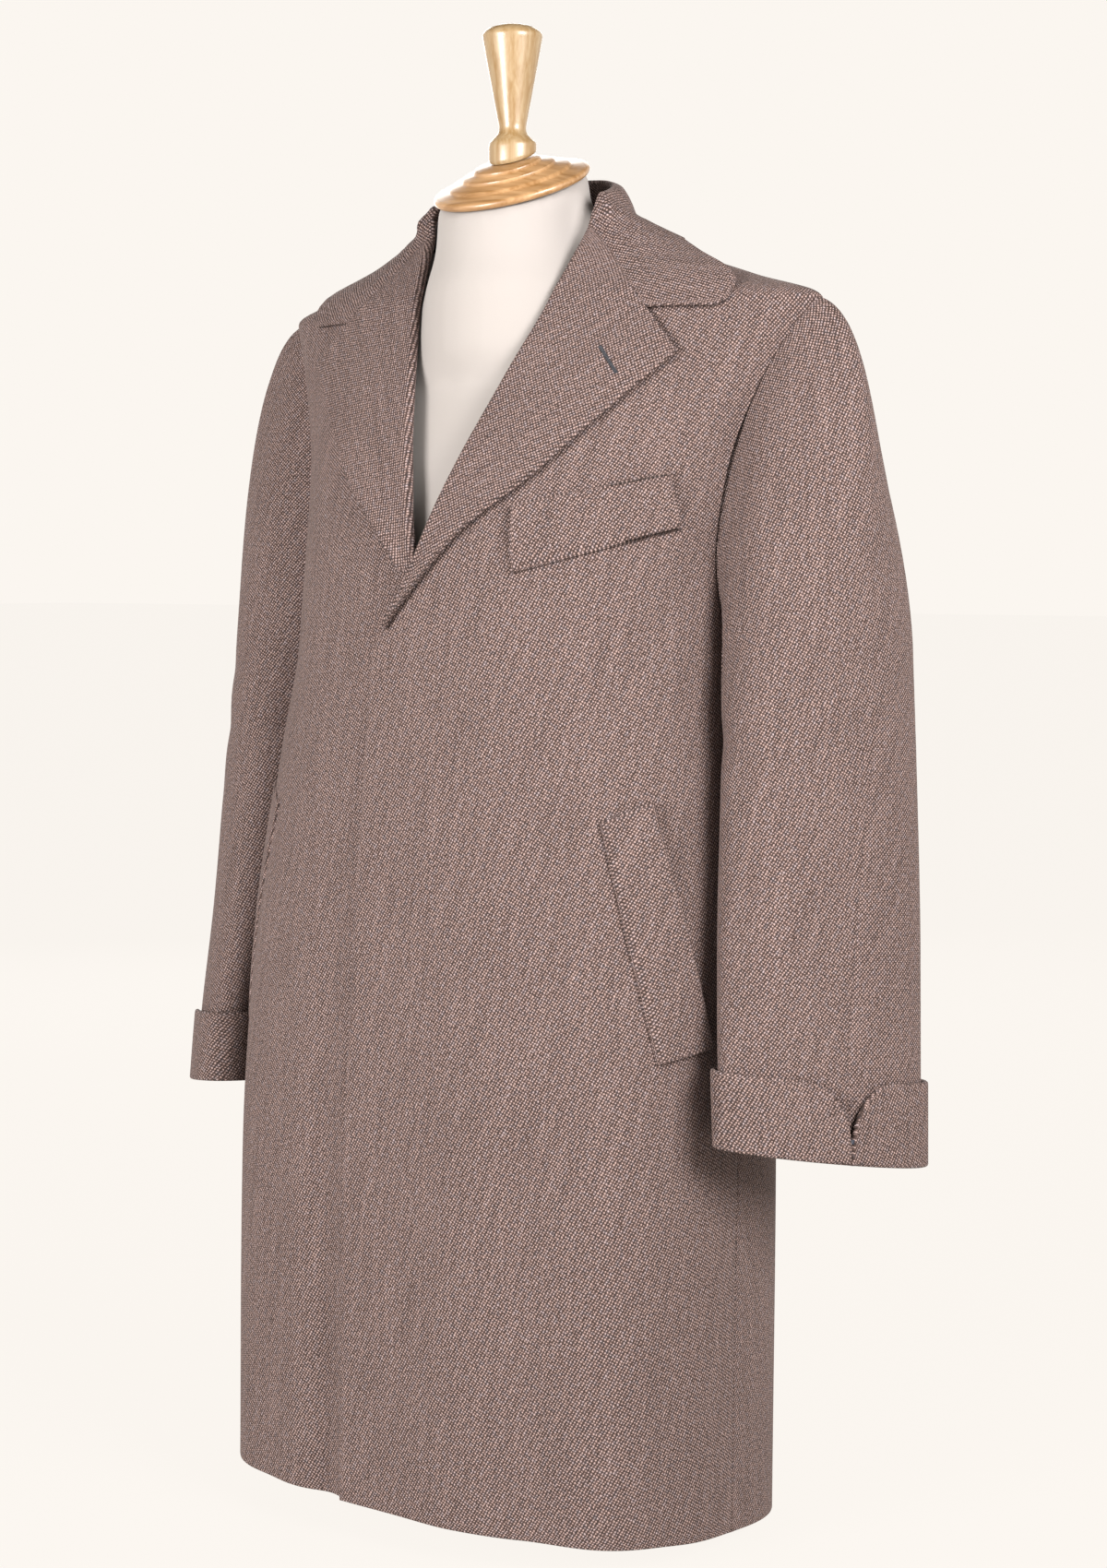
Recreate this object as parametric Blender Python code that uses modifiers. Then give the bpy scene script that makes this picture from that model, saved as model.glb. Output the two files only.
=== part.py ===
"""Single-breasted fly-front overcoat with notch lapels, worn by a limbless dress form on a short stand."""

import math

import bmesh
import bpy
import numpy as np

# Metres. X points to the wearer's left and the front faces -Y.
# The floor is Z 0; the coat and the form stand LIFT higher than their own heights below.
LIFT = 0.012
HEM_Z = 0.0125
HEM_WAY = (0.81, 0.59)  # the hem hangs unevenly: low at the wearer's left back, high at the right front
HEM_FALL = 0.090  # per metre on the low side
HEM_RISE = 0.031  # per metre on the high side
HEM_EVEN_Z = 0.300
UNDERARM_Z = 0.665
SHOULDER_TIP_Z = 0.897
NECK_Z = 0.970
BREAK_Z = 0.640
GORGE_Z = 0.951

CLOTH = 0.0028  # wool and its lining in one wall
FOLDED_CLOTH = 0.0042  # lapel, collar, welt and cuff: two layers of wool
SEAM_GAP = 0.0003
ARMHOLE_GAP = 0.0012
LAID_GAP = 0.0007  # between a panel and the piece that lies on it
COLLAR_CLEAR = 0.0036  # the collar stands a little off the shoulders
RIDGE_CLEAR = 0.0050  # and more where it crosses the shoulder seam
RIDGE_ANGLE = math.radians(30)
BUTTON_STAND = 0.042  # each front edge passes the centre line by this

# Horizontal sections of the coat's inside, hem to neck
BODY_COLUMNS = ("z", "half_width", "front_y", "back_y", "side_y", "fullness")
BODY_SECTIONS = (
    (0.000, 0.206, -0.152, 0.128, -0.012, 3.00),
    (0.260, 0.206, -0.146, 0.132, -0.006, 2.90),
    (0.430, 0.203, -0.134, 0.132, 0.000, 2.60),
    (0.560, 0.191, -0.120, 0.132, 0.006, 2.35),
    (0.640, 0.183, -0.112, 0.136, 0.012, 2.20),
    (0.705, 0.182, -0.110, 0.142, 0.020, 2.10),
    (0.779, 0.192, -0.089, 0.146, 0.030, 2.00),
    (0.844, 0.214, -0.060, 0.144, 0.040, 1.90),
    (0.880, 0.231, -0.042, 0.137, 0.046, 1.75),
    (0.898, 0.239, -0.034, 0.130, 0.049, 1.65),
    (0.915, 0.188, -0.026, 0.121, 0.047, 1.70),
    (0.935, 0.131, -0.017, 0.107, 0.039, 1.80),
    (0.955, 0.090, -0.008, 0.092, 0.022, 1.90),
    (0.972, 0.073, -0.003, 0.078, 0.009, 2.00),
)

# Where the lapel rolls and where its outer edge lies: height, distance across from the centre front
ROLL_LINE = (
    (0.640, -0.042),
    (0.705, 0.001),
    (0.779, 0.025),
    (0.844, 0.046),
    (0.900, 0.064),
    (0.951, 0.074),
    (0.970, 0.076),
)
LAPEL_EDGE = (
    (0.640, -0.042),
    (0.674, -0.012),
    (0.7285, 0.039),
    (0.762, 0.080),
    (0.806, 0.122),
    (0.857, 0.163),
)
NOTCH = (0.890, 0.135)
RIGHT_LAPEL_FOOT_Z = 0.701  # the right lapel goes under the left front here
LAPEL_FOOT_RISE = 0.002
LAPEL_FOOT_WIDE = 0.003
LAPEL_PASS = 0.006  # the right lapel's roll stays this far from the left front's edge
OVERLAP_GIRTH = 0.125  # the left front rides on the right one within this girth and below this height
OVERLAP_GIRTH_FADE = 0.070
OVERLAP_Z = 0.830
OVERLAP_Z_FADE = 0.100

FRONT_SCOOP = 0.030  # armhole, measured from the side line
BACK_SCOOP = 0.058

# Sleeve sections below the armhole; turn is the plan angle of the wide axis
SLEEVE_COLUMNS = ("z", "x", "y", "half_thick", "half_wide", "turn", "hind_seam", "fore_seam")
SLEEVE_SECTIONS = (
    (0.286, 0.2770, -0.003, 0.029, 0.079, 57.0, 78.0, 215.0),
    (0.345, 0.2735, 0.002, 0.030, 0.079, 57.0, 78.0, 213.0),
    (0.430, 0.2660, 0.016, 0.035, 0.078, 58.0, 76.0, 210.0),
    (0.570, 0.2530, 0.036, 0.045, 0.074, 60.0, 70.0, 204.0),
    (0.640, 0.2470, 0.049, 0.051, 0.068, 62.0, 60.0, 198.0),
)
WRIST_SLANT = 0.012  # the wrist is this much lower at the back edge, and higher at the front
SLANT_TOP_Z = 0.460
ARMHOLE_HIND_SEAM = -40.0  # degrees round the armhole from its top, forwards positive
ARMHOLE_FORE_SEAM = 120.0
CAP_LEAVES = (1.0, 0.0, -0.22)  # way the sleeve leaves the top of the armhole, and the underarm
UNDERARM_LEAVES = (0.30, 0.0, -1.0)
CAP_REACH = (0.028, 0.140)  # pull of the armhole on the sleeve cap: underarm, and more at the top
CAP_HANG = (0.035, 0.190)  # pull of the hanging sleeve
CUFF_HEIGHT = 0.058
CUFF_GAP = 0.0010
CUFF_CORNER_WIDE = 0.026
CUFF_CORNER_TALL = 0.045

COLLAR_FALL = (  # outer edge of the collar: plan angle from the side, and height
    (-13.0, 0.890),
    (0.0, 0.936),
    (45.0, 0.944),
    (90.0, 0.948),
)
COLLAR_STAND = (  # share of the way from the gorge to the centre back, and stand height
    (0.0, 0.003),
    (0.25, 0.013),
    (0.60, 0.024),
    (1.0, 0.030),
)

COLLAR_SEAM_OUT = 0.0052  # middle of the collar's wall at the neck seam, from the coat's inside
COLLAR_STAND_ROWS = ((0.55, 0.0), (0.90, 0.0006))  # share of the stand's height, lean
COLLAR_FOLD_OUT = 0.0030  # the fold leans out from the neck seam, and turns over
COLLAR_TURN_OUT = 0.0045
COLLAR_TURN_DOWN = 0.0015
COLLAR_KNEE = (0.0, 0.018, -0.014)  # bulge of the fall at the centre back
NECK_HOLE_Y = 0.010

# Pocket welts on the left front: height and distance across of each corner
BREAST_WELT = ((0.705, 0.088), (0.734, 0.170), (0.773, 0.168), (0.745, 0.081))
HIP_WELT = ((0.354, 0.187), (0.363, 0.2025), (0.537, 0.170), (0.525, 0.146))

FORM_BOTTOM_Z = 0.360
FORM_ARM_X = 0.164  # flat plate where an arm would start
FORM_EASE = 0.010  # clearance from the coat below the shoulders
FORM_SEAT = 0.0010
FORM_DROP = 0.0039  # the shoulders lie this far under the coat's
FORM_SHOULDER_Z = 0.885  # full ease is reached FORM_SHOULDER_FADE below this
FORM_SHOULDER_FADE = 0.060
FORM_RIDGE = (0.10, 0.30)  # sine of the plan angle where the seat on the shoulder ridge ends, and its fade
FORM_NECK_Z = 0.940
FORM_NECK_FADE = 0.030
FORM_NECK_IN = 0.012
FORM_BLEND = 12
FORM_CORE = 0.050
FORM_NECK_ROOT = 0.066
FORM_CHEST_Z = 0.840
FORM_SHOULDER_LEVELS = (0.866, 0.882, 0.893, 0.903)
NECK_RADIUS = 0.0565
NECK_Y = 0.005
NECK_TOP_Z = 0.988
NECK_TILT = math.radians(22.5)
NECK_SECTIONS = (  # height, radius, share of the tilt
    (0.912, 0.066, 0.0),
    (0.922, 0.064, 0.15),
    (0.932, 0.062, 0.3),
    (0.942, 0.060, 0.5),
    (0.955, 0.058, 0.75),
    (0.970, 0.057, 0.9),
    (NECK_TOP_Z, NECK_RADIUS, 1.0),
)
CAP_RADIUS = 0.0600
CAP_EDGE = 0.011
CAP_RISE = 0.021
CAP_FLAT = 0.022
CAP_ROUND = 0.003
CAP_FOOT_ROUND = 0.002
FINIAL_PROFILE = (  # radius, height
    (0.0165, 0.000),
    (0.0180, 0.003),
    (0.0180, 0.009),
    (0.0165, 0.012),
    (0.0124, 0.016),
    (0.0106, 0.024),
    (0.0126, 0.034),
    (0.0165, 0.055),
    (0.0210, 0.079),
    (0.0228, 0.087),
    (0.0215, 0.0925),
    (0.0160, 0.0960),
    (0.0080, 0.0978),
)
FINIAL_TOP = 0.0983
FINIAL_COLLAR_TOP = 0.012  # the slope of its foot fades out here
POLE_RADIUS = 0.016
BASE_RADIUS = 0.085
BASE_HEIGHT = 0.018
BASE_BEVEL = 0.003

MATERIALS = {  # colour, roughness, metallic
    "wool": ((0.205, 0.145, 0.115, 1.0), 0.9, 0.0),
    "form_cloth": ((0.78, 0.73, 0.66, 1.0), 0.85, 0.0),
    "wood": ((0.62, 0.36, 0.14, 1.0), 0.4, 0.0),
    "painted_steel": ((0.05, 0.05, 0.05, 1.0), 0.45, 0.6),
}


def clear_scene():
    for obj in list(bpy.data.objects):
        bpy.data.objects.remove(obj, do_unlink=True)


def make_material(name):
    colour, roughness, metallic = MATERIALS[name]
    material = bpy.data.materials.new(name)
    material.use_nodes = True
    shader = material.node_tree.nodes["Principled BSDF"]
    shader.inputs["Base Color"].default_value = colour
    shader.inputs["Roughness"].default_value = roughness
    shader.inputs["Metallic"].default_value = metallic
    return material


def smooth_curve(rows, column, at):
    """Reads one column of a table at the given places, along a curve that never overshoots its rows."""
    table = np.array(rows, float)
    table = table[np.argsort(table[:, 0])]
    knots, values = table[:, 0], table[:, column]
    steps = np.diff(knots)
    slopes = np.diff(values) / steps
    tangents = np.concatenate([slopes[:1], np.zeros(len(knots) - 2), slopes[-1:]])
    for i in range(1, len(knots) - 1):
        if slopes[i - 1] * slopes[i] > 0:
            before = 2 * steps[i] + steps[i - 1]
            after = steps[i] + 2 * steps[i - 1]
            tangents[i] = (before + after) / (before / slopes[i - 1] + after / slopes[i])
    at = np.clip(np.asarray(at, float), knots[0], knots[-1])
    i = np.clip(np.searchsorted(knots, at) - 1, 0, len(knots) - 2)
    t = (at - knots[i]) / steps[i]
    return (
        (2 * t**3 - 3 * t**2 + 1) * values[i]
        + (t**3 - 2 * t**2 + t) * steps[i] * tangents[i]
        + (3 * t**2 - 2 * t**3) * values[i + 1]
        + (t**3 - t**2) * steps[i] * tangents[i + 1]
    )


def smooth_step(value):
    value = np.clip(value, 0.0, 1.0)
    return value * value * (3 - 2 * value)


def unit(vectors):
    return vectors / np.linalg.norm(vectors, axis=-1, keepdims=True)


def body(name, z):
    return smooth_curve(BODY_SECTIONS, BODY_COLUMNS.index(name), z)


def body_point(angle, z):
    """A point of the coat's inside; angle is in plan, from the wearer's left side towards the back."""
    angle, z = np.broadcast_arrays(np.asarray(angle, float), np.asarray(z, float))
    side_y = body("side_y", z)
    deep = np.where(np.sin(angle) < 0, side_y - body("front_y", z), body("back_y", z) - side_y)
    power = body("fullness", z)
    across = np.abs(np.cos(angle) / body("half_width", z)) ** power
    along = np.abs(np.sin(angle) / deep) ** power
    radius = (across + along) ** (-1 / power)
    return np.stack([radius * np.cos(angle), side_y + radius * np.sin(angle), z], axis=-1)


def body_normal(angle, z):
    turn, rise = 0.01, 0.002
    round_way = body_point(angle + turn, z) - body_point(angle - turn, z)
    up_way = body_point(angle, z + rise) - body_point(angle, z - rise)
    return unit(np.cross(round_way, up_way))


def girth_table(face, z):
    """Angles from the centre front or back to the wearer's left side, with lengths and distances across."""
    centre = -math.pi / 2 if face == "front" else math.pi / 2
    angles = np.linspace(centre, 0.0, 61)
    points = body_point(angles, z)
    lengths = np.concatenate([[0.0], np.cumsum(np.linalg.norm(np.diff(points, axis=0), axis=1))])
    return angles, lengths, points[:, 0]


def half_girth(face, z):
    return np.array([girth_table(face, level)[1][-1] for level in np.atleast_1d(z)])


def girth_at(face, across, z):
    """Length along the section from the centre line to a place that far across."""
    found = []
    for side, level in np.broadcast(across, z):
        _, lengths, reach = girth_table(face, level)
        found.append(math.copysign(np.interp(abs(side), reach, lengths), side))
    return np.array(found)


def panel_angle(face, girth, z):
    found = []
    for length, level in np.broadcast(girth, z):
        angles, lengths, _ = girth_table(face, level)
        angle = np.interp(abs(length), lengths, angles)
        mirrored = -math.pi - angle if face == "front" else math.pi - angle
        found.append(angle if length >= 0 else mirrored)
    return np.array(found).reshape(np.broadcast(girth, z).shape)


def panel_points(face, pattern, out):
    """Lays a flat pattern of (girth, height) on the body, moved out by a length or an array of lengths."""
    z = pattern[..., 1]
    angle = panel_angle(face, pattern[..., 0], z)
    out = np.broadcast_to(np.asarray(out, float), z.shape)
    return body_point(angle, z) + body_normal(angle, z) * out[..., None]


def coons(left, right, bottom, top):
    """Fills four edges; left and right run bottom to top, bottom and top run left to right."""
    v = np.linspace(0, 1, len(left))[:, None, None]
    u = np.linspace(0, 1, len(bottom))[None, :, None]
    corners = (1 - v) * ((1 - u) * left[0] + u * right[0]) + v * ((1 - u) * left[-1] + u * right[-1])
    sides = (1 - u) * left[:, None] + u * right[:, None]
    ends = (1 - v) * bottom[None] + v * top[None]
    return sides + ends - corners


def polyline(points, count):
    """Evenly spaced points along straight stretches, with each corner kept."""
    points = np.array(points, float)
    spans = np.linalg.norm(np.diff(points, axis=0), axis=1)
    shares = np.maximum(1, np.round(spans / spans.sum() * (count - 1))).astype(int)
    shares[np.argmax(shares)] += count - 1 - shares.sum()
    runs = [np.linspace(points[i], points[i + 1], n + 1)[:-1] for i, n in enumerate(shares)]
    return np.concatenate(runs + [points[-1:]])


def pull_edges(grid, amount, edges):
    """Draws the named edges of a grid in by a length, to part it from its neighbours."""
    grid = grid.copy()
    for edge in edges:
        view = {"first_row": grid, "last_row": grid[::-1]}.get(edge)
        if view is None:
            columns = np.swapaxes(grid, 0, 1)
            view = columns if edge == "first_column" else columns[::-1]
        view[0] += unit(view[1] - view[0]) * amount
    return grid


def grid_normals(grid, closed):
    """Normals of a grid of rows and columns; closed wraps the columns round."""
    if closed:
        across = np.roll(grid, -1, axis=1) - np.roll(grid, 1, axis=1)
    else:
        across = np.gradient(grid, axis=1)
    return unit(np.cross(across, np.gradient(grid, axis=0)))


def add_object(name, mesh, material, collection):
    mesh.materials.append(material)
    mesh.shade_smooth()
    mesh.set_sharp_from_angle(angle=math.radians(50))
    obj = bpy.data.objects.new(name, mesh)
    collection.objects.link(obj)
    return obj


def add_wall(name, inner, outer, material, collection):
    """A closed wall between two grids of the same size."""
    rows, columns = inner.shape[:2]
    index = np.arange(rows * columns).reshape(rows, columns)
    far = index + rows * columns
    faces = []
    for sheet in (index, far):
        square = (sheet[:-1, :-1], sheet[:-1, 1:], sheet[1:, 1:], sheet[1:, :-1])
        faces += np.stack(square, axis=-1).reshape(-1, 4).tolist()
    for near_edge, far_edge in (
        (index[0], far[0]),
        (index[-1], far[-1]),
        (index[:, 0], far[:, 0]),
        (index[:, -1], far[:, -1]),
    ):
        rim = (near_edge[:-1], near_edge[1:], far_edge[1:], far_edge[:-1])
        faces += np.stack(rim, axis=-1).tolist()
    points = np.concatenate([inner.reshape(-1, 3), outer.reshape(-1, 3)])
    mesh = bpy.data.meshes.new(name)
    mesh.from_pydata(points.tolist(), [], faces)
    face_outwards(mesh)
    return add_object(name, mesh, material, collection)


def face_outwards(mesh):
    shape = bmesh.new()
    shape.from_mesh(mesh)
    bmesh.ops.recalc_face_normals(shape, faces=shape.faces)
    shape.to_mesh(mesh)
    shape.free()
    mesh.update()


def mirrored(grid):
    return grid * np.array([-1.0, 1.0, 1.0])


def droop(grid):
    """Lets the hem hang unevenly, fading out upwards."""
    grid = grid.copy()
    share = smooth_step((HEM_EVEN_Z - grid[..., 2]) / (HEM_EVEN_Z - HEM_Z))
    along = grid[..., :2] @ np.array(HEM_WAY)
    grid[..., 2] -= share * along * np.where(along > 0, HEM_FALL, HEM_RISE)
    return grid


def armhole(face, turn, shrink):
    """Pattern points round the armhole, turn degrees from its top."""
    turn = np.radians(turn)
    middle = (UNDERARM_Z + SHOULDER_TIP_Z) / 2
    half = (SHOULDER_TIP_Z - UNDERARM_Z) / 2 - shrink
    z = middle + half * np.cos(turn)
    scoop = (FRONT_SCOOP if face == "front" else BACK_SCOOP) - shrink
    return np.stack([half_girth(face, z) - scoop * np.abs(np.sin(turn)), z], axis=-1)


SIDE_ROWS = 13
ARMHOLE_ROWS = 10


def side_edge(face):
    """Side seam from the hem to the underarm, then the armhole up to the shoulder tip."""
    seam_z = np.linspace(HEM_Z, UNDERARM_Z, SIDE_ROWS)
    seam = np.stack([half_girth(face, seam_z), seam_z], axis=-1)
    around = armhole(face, np.linspace(180, 0, ARMHOLE_ROWS), 0.0)
    return np.concatenate([seam, around[1:]])


def shoulder_seam(face, count):
    z = np.linspace(SHOULDER_TIP_Z, NECK_Z, count)
    return np.stack([half_girth(face, z), z], axis=-1)


def across_curve(rows, z):
    """Pattern points of a line on the front given by heights and distances across."""
    across = smooth_curve(rows, 1, z)
    return np.stack([girth_at("front", across, z), z], axis=-1)


FRONT_COLUMNS = 13


def front_pattern():
    side = side_edge("front")
    edge_z = np.linspace(HEM_Z, BREAK_Z, SIDE_ROWS)
    edge = np.stack([np.full(SIDE_ROWS, -BUTTON_STAND), edge_z], axis=-1)
    roll = across_curve(ROLL_LINE, np.linspace(BREAK_Z, NECK_Z, ARMHOLE_ROWS))
    front = np.concatenate([edge, roll[1:]])
    hem = np.linspace(front[0], side[0], FRONT_COLUMNS)
    shoulder = shoulder_seam("front", FRONT_COLUMNS)[::-1]
    front[-1] = shoulder[0]
    return coons(front, side, hem, shoulder)


def overlap_lift(pattern):
    """The left front lies on the right one near the closing and comes down to the body beside it."""
    lift = CLOTH + LAID_GAP
    near = smooth_step((OVERLAP_GIRTH - pattern[..., 0]) / OVERLAP_GIRTH_FADE)
    low = smooth_step((OVERLAP_Z - pattern[..., 1]) / OVERLAP_Z_FADE)
    return lift * near * low


def build_fronts(wool, collection):
    pattern = front_pattern()
    seams = ("last_column", "last_row")
    for side, lift in (("left", overlap_lift(pattern)), ("right", np.zeros(pattern.shape[:2]))):
        inner = pull_edges(panel_points("front", pattern, lift), SEAM_GAP, seams)
        outer = pull_edges(panel_points("front", pattern, lift + CLOTH), SEAM_GAP, seams)
        if side == "right":
            inner, outer = mirrored(inner), mirrored(outer)
        add_wall(f"{side}_front", droop(inner), droop(outer), wool, collection)


NECK_COLUMNS = 9


def build_back(wool, collection):
    side = side_edge("back")
    far_side = side * np.array([-1.0, 1.0])
    shoulder = shoulder_seam("back", FRONT_COLUMNS)
    far_shoulder = shoulder * np.array([-1.0, 1.0])
    neck = np.linspace(shoulder[-1], far_shoulder[-1], NECK_COLUMNS)
    top = np.concatenate([shoulder[:-1], neck, far_shoulder[-2::-1]])
    hem = np.linspace(side[0], far_side[0], len(top))
    pattern = coons(side, far_side, hem, top)
    inner = pull_edges(panel_points("back", pattern, 0.0), SEAM_GAP, ("last_row",))
    outer = pull_edges(panel_points("back", pattern, CLOTH), SEAM_GAP, ("last_row",))
    add_wall("back", droop(inner), droop(outer), wool, collection)


def notch_pattern():
    z, across = NOTCH
    return np.array([girth_at("front", across, z)[0], z])


def lapel_pattern(side):
    """Roll line, outer edge and top of a lapel, as one four-sided pattern."""
    rows, columns = 13, 8
    foot_z = BREAK_Z + LAPEL_FOOT_RISE if side == "left" else RIGHT_LAPEL_FOOT_Z
    roll = across_curve(ROLL_LINE, np.linspace(foot_z, GORGE_Z, rows))
    if side == "right":
        roll[:, 0] = np.maximum(roll[:, 0], LAPEL_PASS - roll[:, 0])
    edge_top = LAPEL_EDGE[-1][0]
    edge = across_curve(LAPEL_EDGE, np.linspace(foot_z, edge_top, rows))
    edge[0, 0] = max(edge[0, 0], roll[0, 0] + LAPEL_FOOT_WIDE)
    top = polyline([roll[-1], notch_pattern(), edge[-1]], columns)
    return coons(roll, edge, np.linspace(roll[0], edge[0], columns), top)


def build_lapels(wool, collection):
    for side in ("left", "right"):
        pattern = lapel_pattern(side)
        lift = overlap_lift(pattern) if side == "left" else 0.0
        inner_out = lift + CLOTH + LAID_GAP
        inner = pull_edges(panel_points("front", pattern, inner_out), LAID_GAP, ("last_row",))
        outer = panel_points("front", pattern, inner_out + FOLDED_CLOTH)
        outer = pull_edges(outer, LAID_GAP, ("last_row",))
        if side == "right":
            inner, outer = mirrored(inner), mirrored(outer)
        add_wall(f"{side}_lapel", inner, outer, wool, collection)


def build_welts(wool, collection):
    layouts = (
        ("breast_welt", BREAST_WELT, 4, 9, "left"),
        ("left_pocket_welt", HIP_WELT, 9, 4, "left"),
        ("right_pocket_welt", HIP_WELT, 9, 4, "right"),
    )
    for name, corners, rows, columns, side in layouts:
        z = np.array([corner[0] for corner in corners])
        across = np.array([corner[1] for corner in corners])
        low_in, low_out, high_out, high_in = np.stack([girth_at("front", across, z), z], axis=-1)
        pattern = coons(
            np.linspace(low_in, high_in, rows),
            np.linspace(low_out, high_out, rows),
            np.linspace(low_in, low_out, columns),
            np.linspace(high_in, high_out, columns),
        )
        lift = overlap_lift(pattern) if side == "left" else 0.0
        inner = panel_points("front", pattern, lift + CLOTH + LAID_GAP)
        outer = panel_points("front", pattern, lift + CLOTH + LAID_GAP + FOLDED_CLOTH)
        if side == "right":
            inner, outer = mirrored(inner), mirrored(outer)
        add_wall(name, inner, outer, wool, collection)


TOP_SLEEVE_COLUMNS = 13
UNDER_SLEEVE_COLUMNS = 12
CAP_ROWS = 8
SLEEVE_ROWS = 10


def sleeve_section(z, turns):
    """Points round a sleeve at one height; turns are in degrees round its flattened oval."""
    row = {name: smooth_curve(SLEEVE_SECTIONS, i, z) for i, name in enumerate(SLEEVE_COLUMNS)}
    lie = math.radians(row["turn"])
    wide = np.array([math.cos(lie), math.sin(lie), 0.0]) * row["half_wide"]
    thick = np.array([math.sin(lie), -math.cos(lie), 0.0]) * row["half_thick"]
    turns = np.radians(turns)[:, None]
    slant = WRIST_SLANT * smooth_step((SLANT_TOP_Z - z) / (SLANT_TOP_Z - SLEEVE_SECTIONS[0][0]))
    centre = np.array([row["x"], row["y"], z])
    lower = np.array([0.0, 0.0, -slant])
    return centre + np.cos(turns) * (wide + lower) + np.sin(turns) * thick


def sleeve_turns(hind, fore):
    top = np.linspace(hind, fore, TOP_SLEEVE_COLUMNS)
    under = np.linspace(fore, hind + 360, UNDER_SLEEVE_COLUMNS)
    return np.concatenate([top[:-1], under[:-1]])


def sleeve_grid():
    """Outside of the left sleeve, armhole to wrist; columns run forwards round it from the hind seam."""
    around = sleeve_turns(ARMHOLE_HIND_SEAM, ARMHOLE_FORE_SEAM)
    in_front = np.sin(np.radians(around)) >= 0
    start = np.empty((len(around), 3))
    for face, chosen in (("front", in_front), ("back", ~in_front)):
        pattern = armhole(face, around[chosen], ARMHOLE_GAP)
        start[chosen] = panel_points(face, pattern, CLOTH)
    high = (1 + np.cos(np.radians(around)))[:, None] / 2
    leave = unit(high * np.array(CAP_LEAVES) + (1 - high) * np.array(UNDERARM_LEAVES))
    leave *= CAP_REACH[0] + CAP_REACH[1] * high
    levels = np.array([row[0] for row in SLEEVE_SECTIONS])
    hang_z = np.linspace(levels.max(), levels.min(), SLEEVE_ROWS)
    hang = []
    for z in hang_z:
        hind = smooth_curve(SLEEVE_SECTIONS, SLEEVE_COLUMNS.index("hind_seam"), z)
        fore = smooth_curve(SLEEVE_SECTIONS, SLEEVE_COLUMNS.index("fore_seam"), z)
        hang.append(sleeve_section(z, sleeve_turns(hind, fore)))
    hang = np.array(hang)
    arrive = unit(hang[1] - hang[0]) * (CAP_HANG[0] + CAP_HANG[1] * high)
    cap = []
    for t in np.linspace(0, 1, CAP_ROWS)[:-1]:
        cap.append(
            (2 * t**3 - 3 * t**2 + 1) * start
            + (t**3 - 2 * t**2 + t) * leave
            + (3 * t**2 - 2 * t**3) * hang[0]
            + (t**3 - t**2) * arrive
        )
    return np.concatenate([np.array(cap), hang])


def build_sleeves(wool, collection):
    outside = sleeve_grid()
    inside = outside - grid_normals(outside, closed=True) * CLOTH
    last_top = TOP_SLEEVE_COLUMNS - 1
    under = np.concatenate([np.arange(last_top, outside.shape[1]), [0]])
    for name, chosen in (("top_sleeve", np.arange(last_top + 1)), ("under_sleeve", under)):
        seams = ("first_column", "last_column")
        inner = pull_edges(inside[:, chosen], SEAM_GAP / 2, seams)
        outer = pull_edges(outside[:, chosen], SEAM_GAP / 2, seams)
        add_wall(f"left_{name}", inner, outer, wool, collection)
        add_wall(f"right_{name}", mirrored(inner), mirrored(outer), wool, collection)


def build_cuffs(wool, collection):
    """Turned-back cuffs whose rounded ends meet on the hind seam."""
    rows, columns = 5, 29
    wrist = SLEEVE_SECTIONS[0]
    hind = wrist[SLEEVE_COLUMNS.index("hind_seam")]
    turns = np.linspace(hind, hind + 360, columns)
    foot = sleeve_section(wrist[0], turns)
    walk = np.concatenate([[0.0], np.cumsum(np.linalg.norm(np.diff(foot, axis=0), axis=1))])
    from_end = np.minimum(walk, walk[-1] - walk)
    short = np.clip(1 - from_end / CUFF_CORNER_WIDE, 0, 1)
    tall = CUFF_HEIGHT - CUFF_CORNER_TALL * (1 - np.sqrt(1 - short**2))
    sheet = []
    for share in np.linspace(0, 1, rows):
        z = wrist[0] + share * tall
        ring = [sleeve_section(level, np.array([turn]))[0] for level, turn in zip(z, turns)]
        sheet.append(np.array(ring))
    sheet = np.array(sheet)
    out = grid_normals(sheet, closed=False)
    out[..., 2] = 0.0
    out = unit(out)
    out *= np.sign(np.sum(out * (sheet - sheet.mean(axis=(0, 1))), axis=-1).mean())
    ends = ("first_column", "last_column")
    inner = pull_edges(sheet + out * CUFF_GAP, SEAM_GAP, ends)
    outer = pull_edges(sheet + out * (CUFF_GAP + FOLDED_CLOTH), SEAM_GAP, ends)
    add_wall("left_cuff", inner, outer, wool, collection)
    add_wall("right_cuff", mirrored(inner), mirrored(outer), wool, collection)


COLLAR_STATIONS = 18
COLLAR_LEAF_ROWS = 9


def neck_edge(count):
    """Points just outside the panels where the collar is sewn, from the gorge round to the centre back."""
    front_z = np.linspace(GORGE_Z, NECK_Z, 8)
    front = panel_points("front", across_curve(ROLL_LINE, front_z), COLLAR_SEAM_OUT)
    turns = np.linspace(0.0, math.pi / 2, 16)
    back = body_point(turns, NECK_Z) + body_normal(turns, NECK_Z) * COLLAR_SEAM_OUT
    path = np.concatenate([front[:-1], back])
    walk = np.concatenate([[0.0], np.cumsum(np.linalg.norm(np.diff(path, axis=0), axis=1))])
    stops = np.linspace(0, walk[-1], count)
    return np.stack([np.interp(stops, walk, path[:, i]) for i in range(3)], axis=-1)


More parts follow.
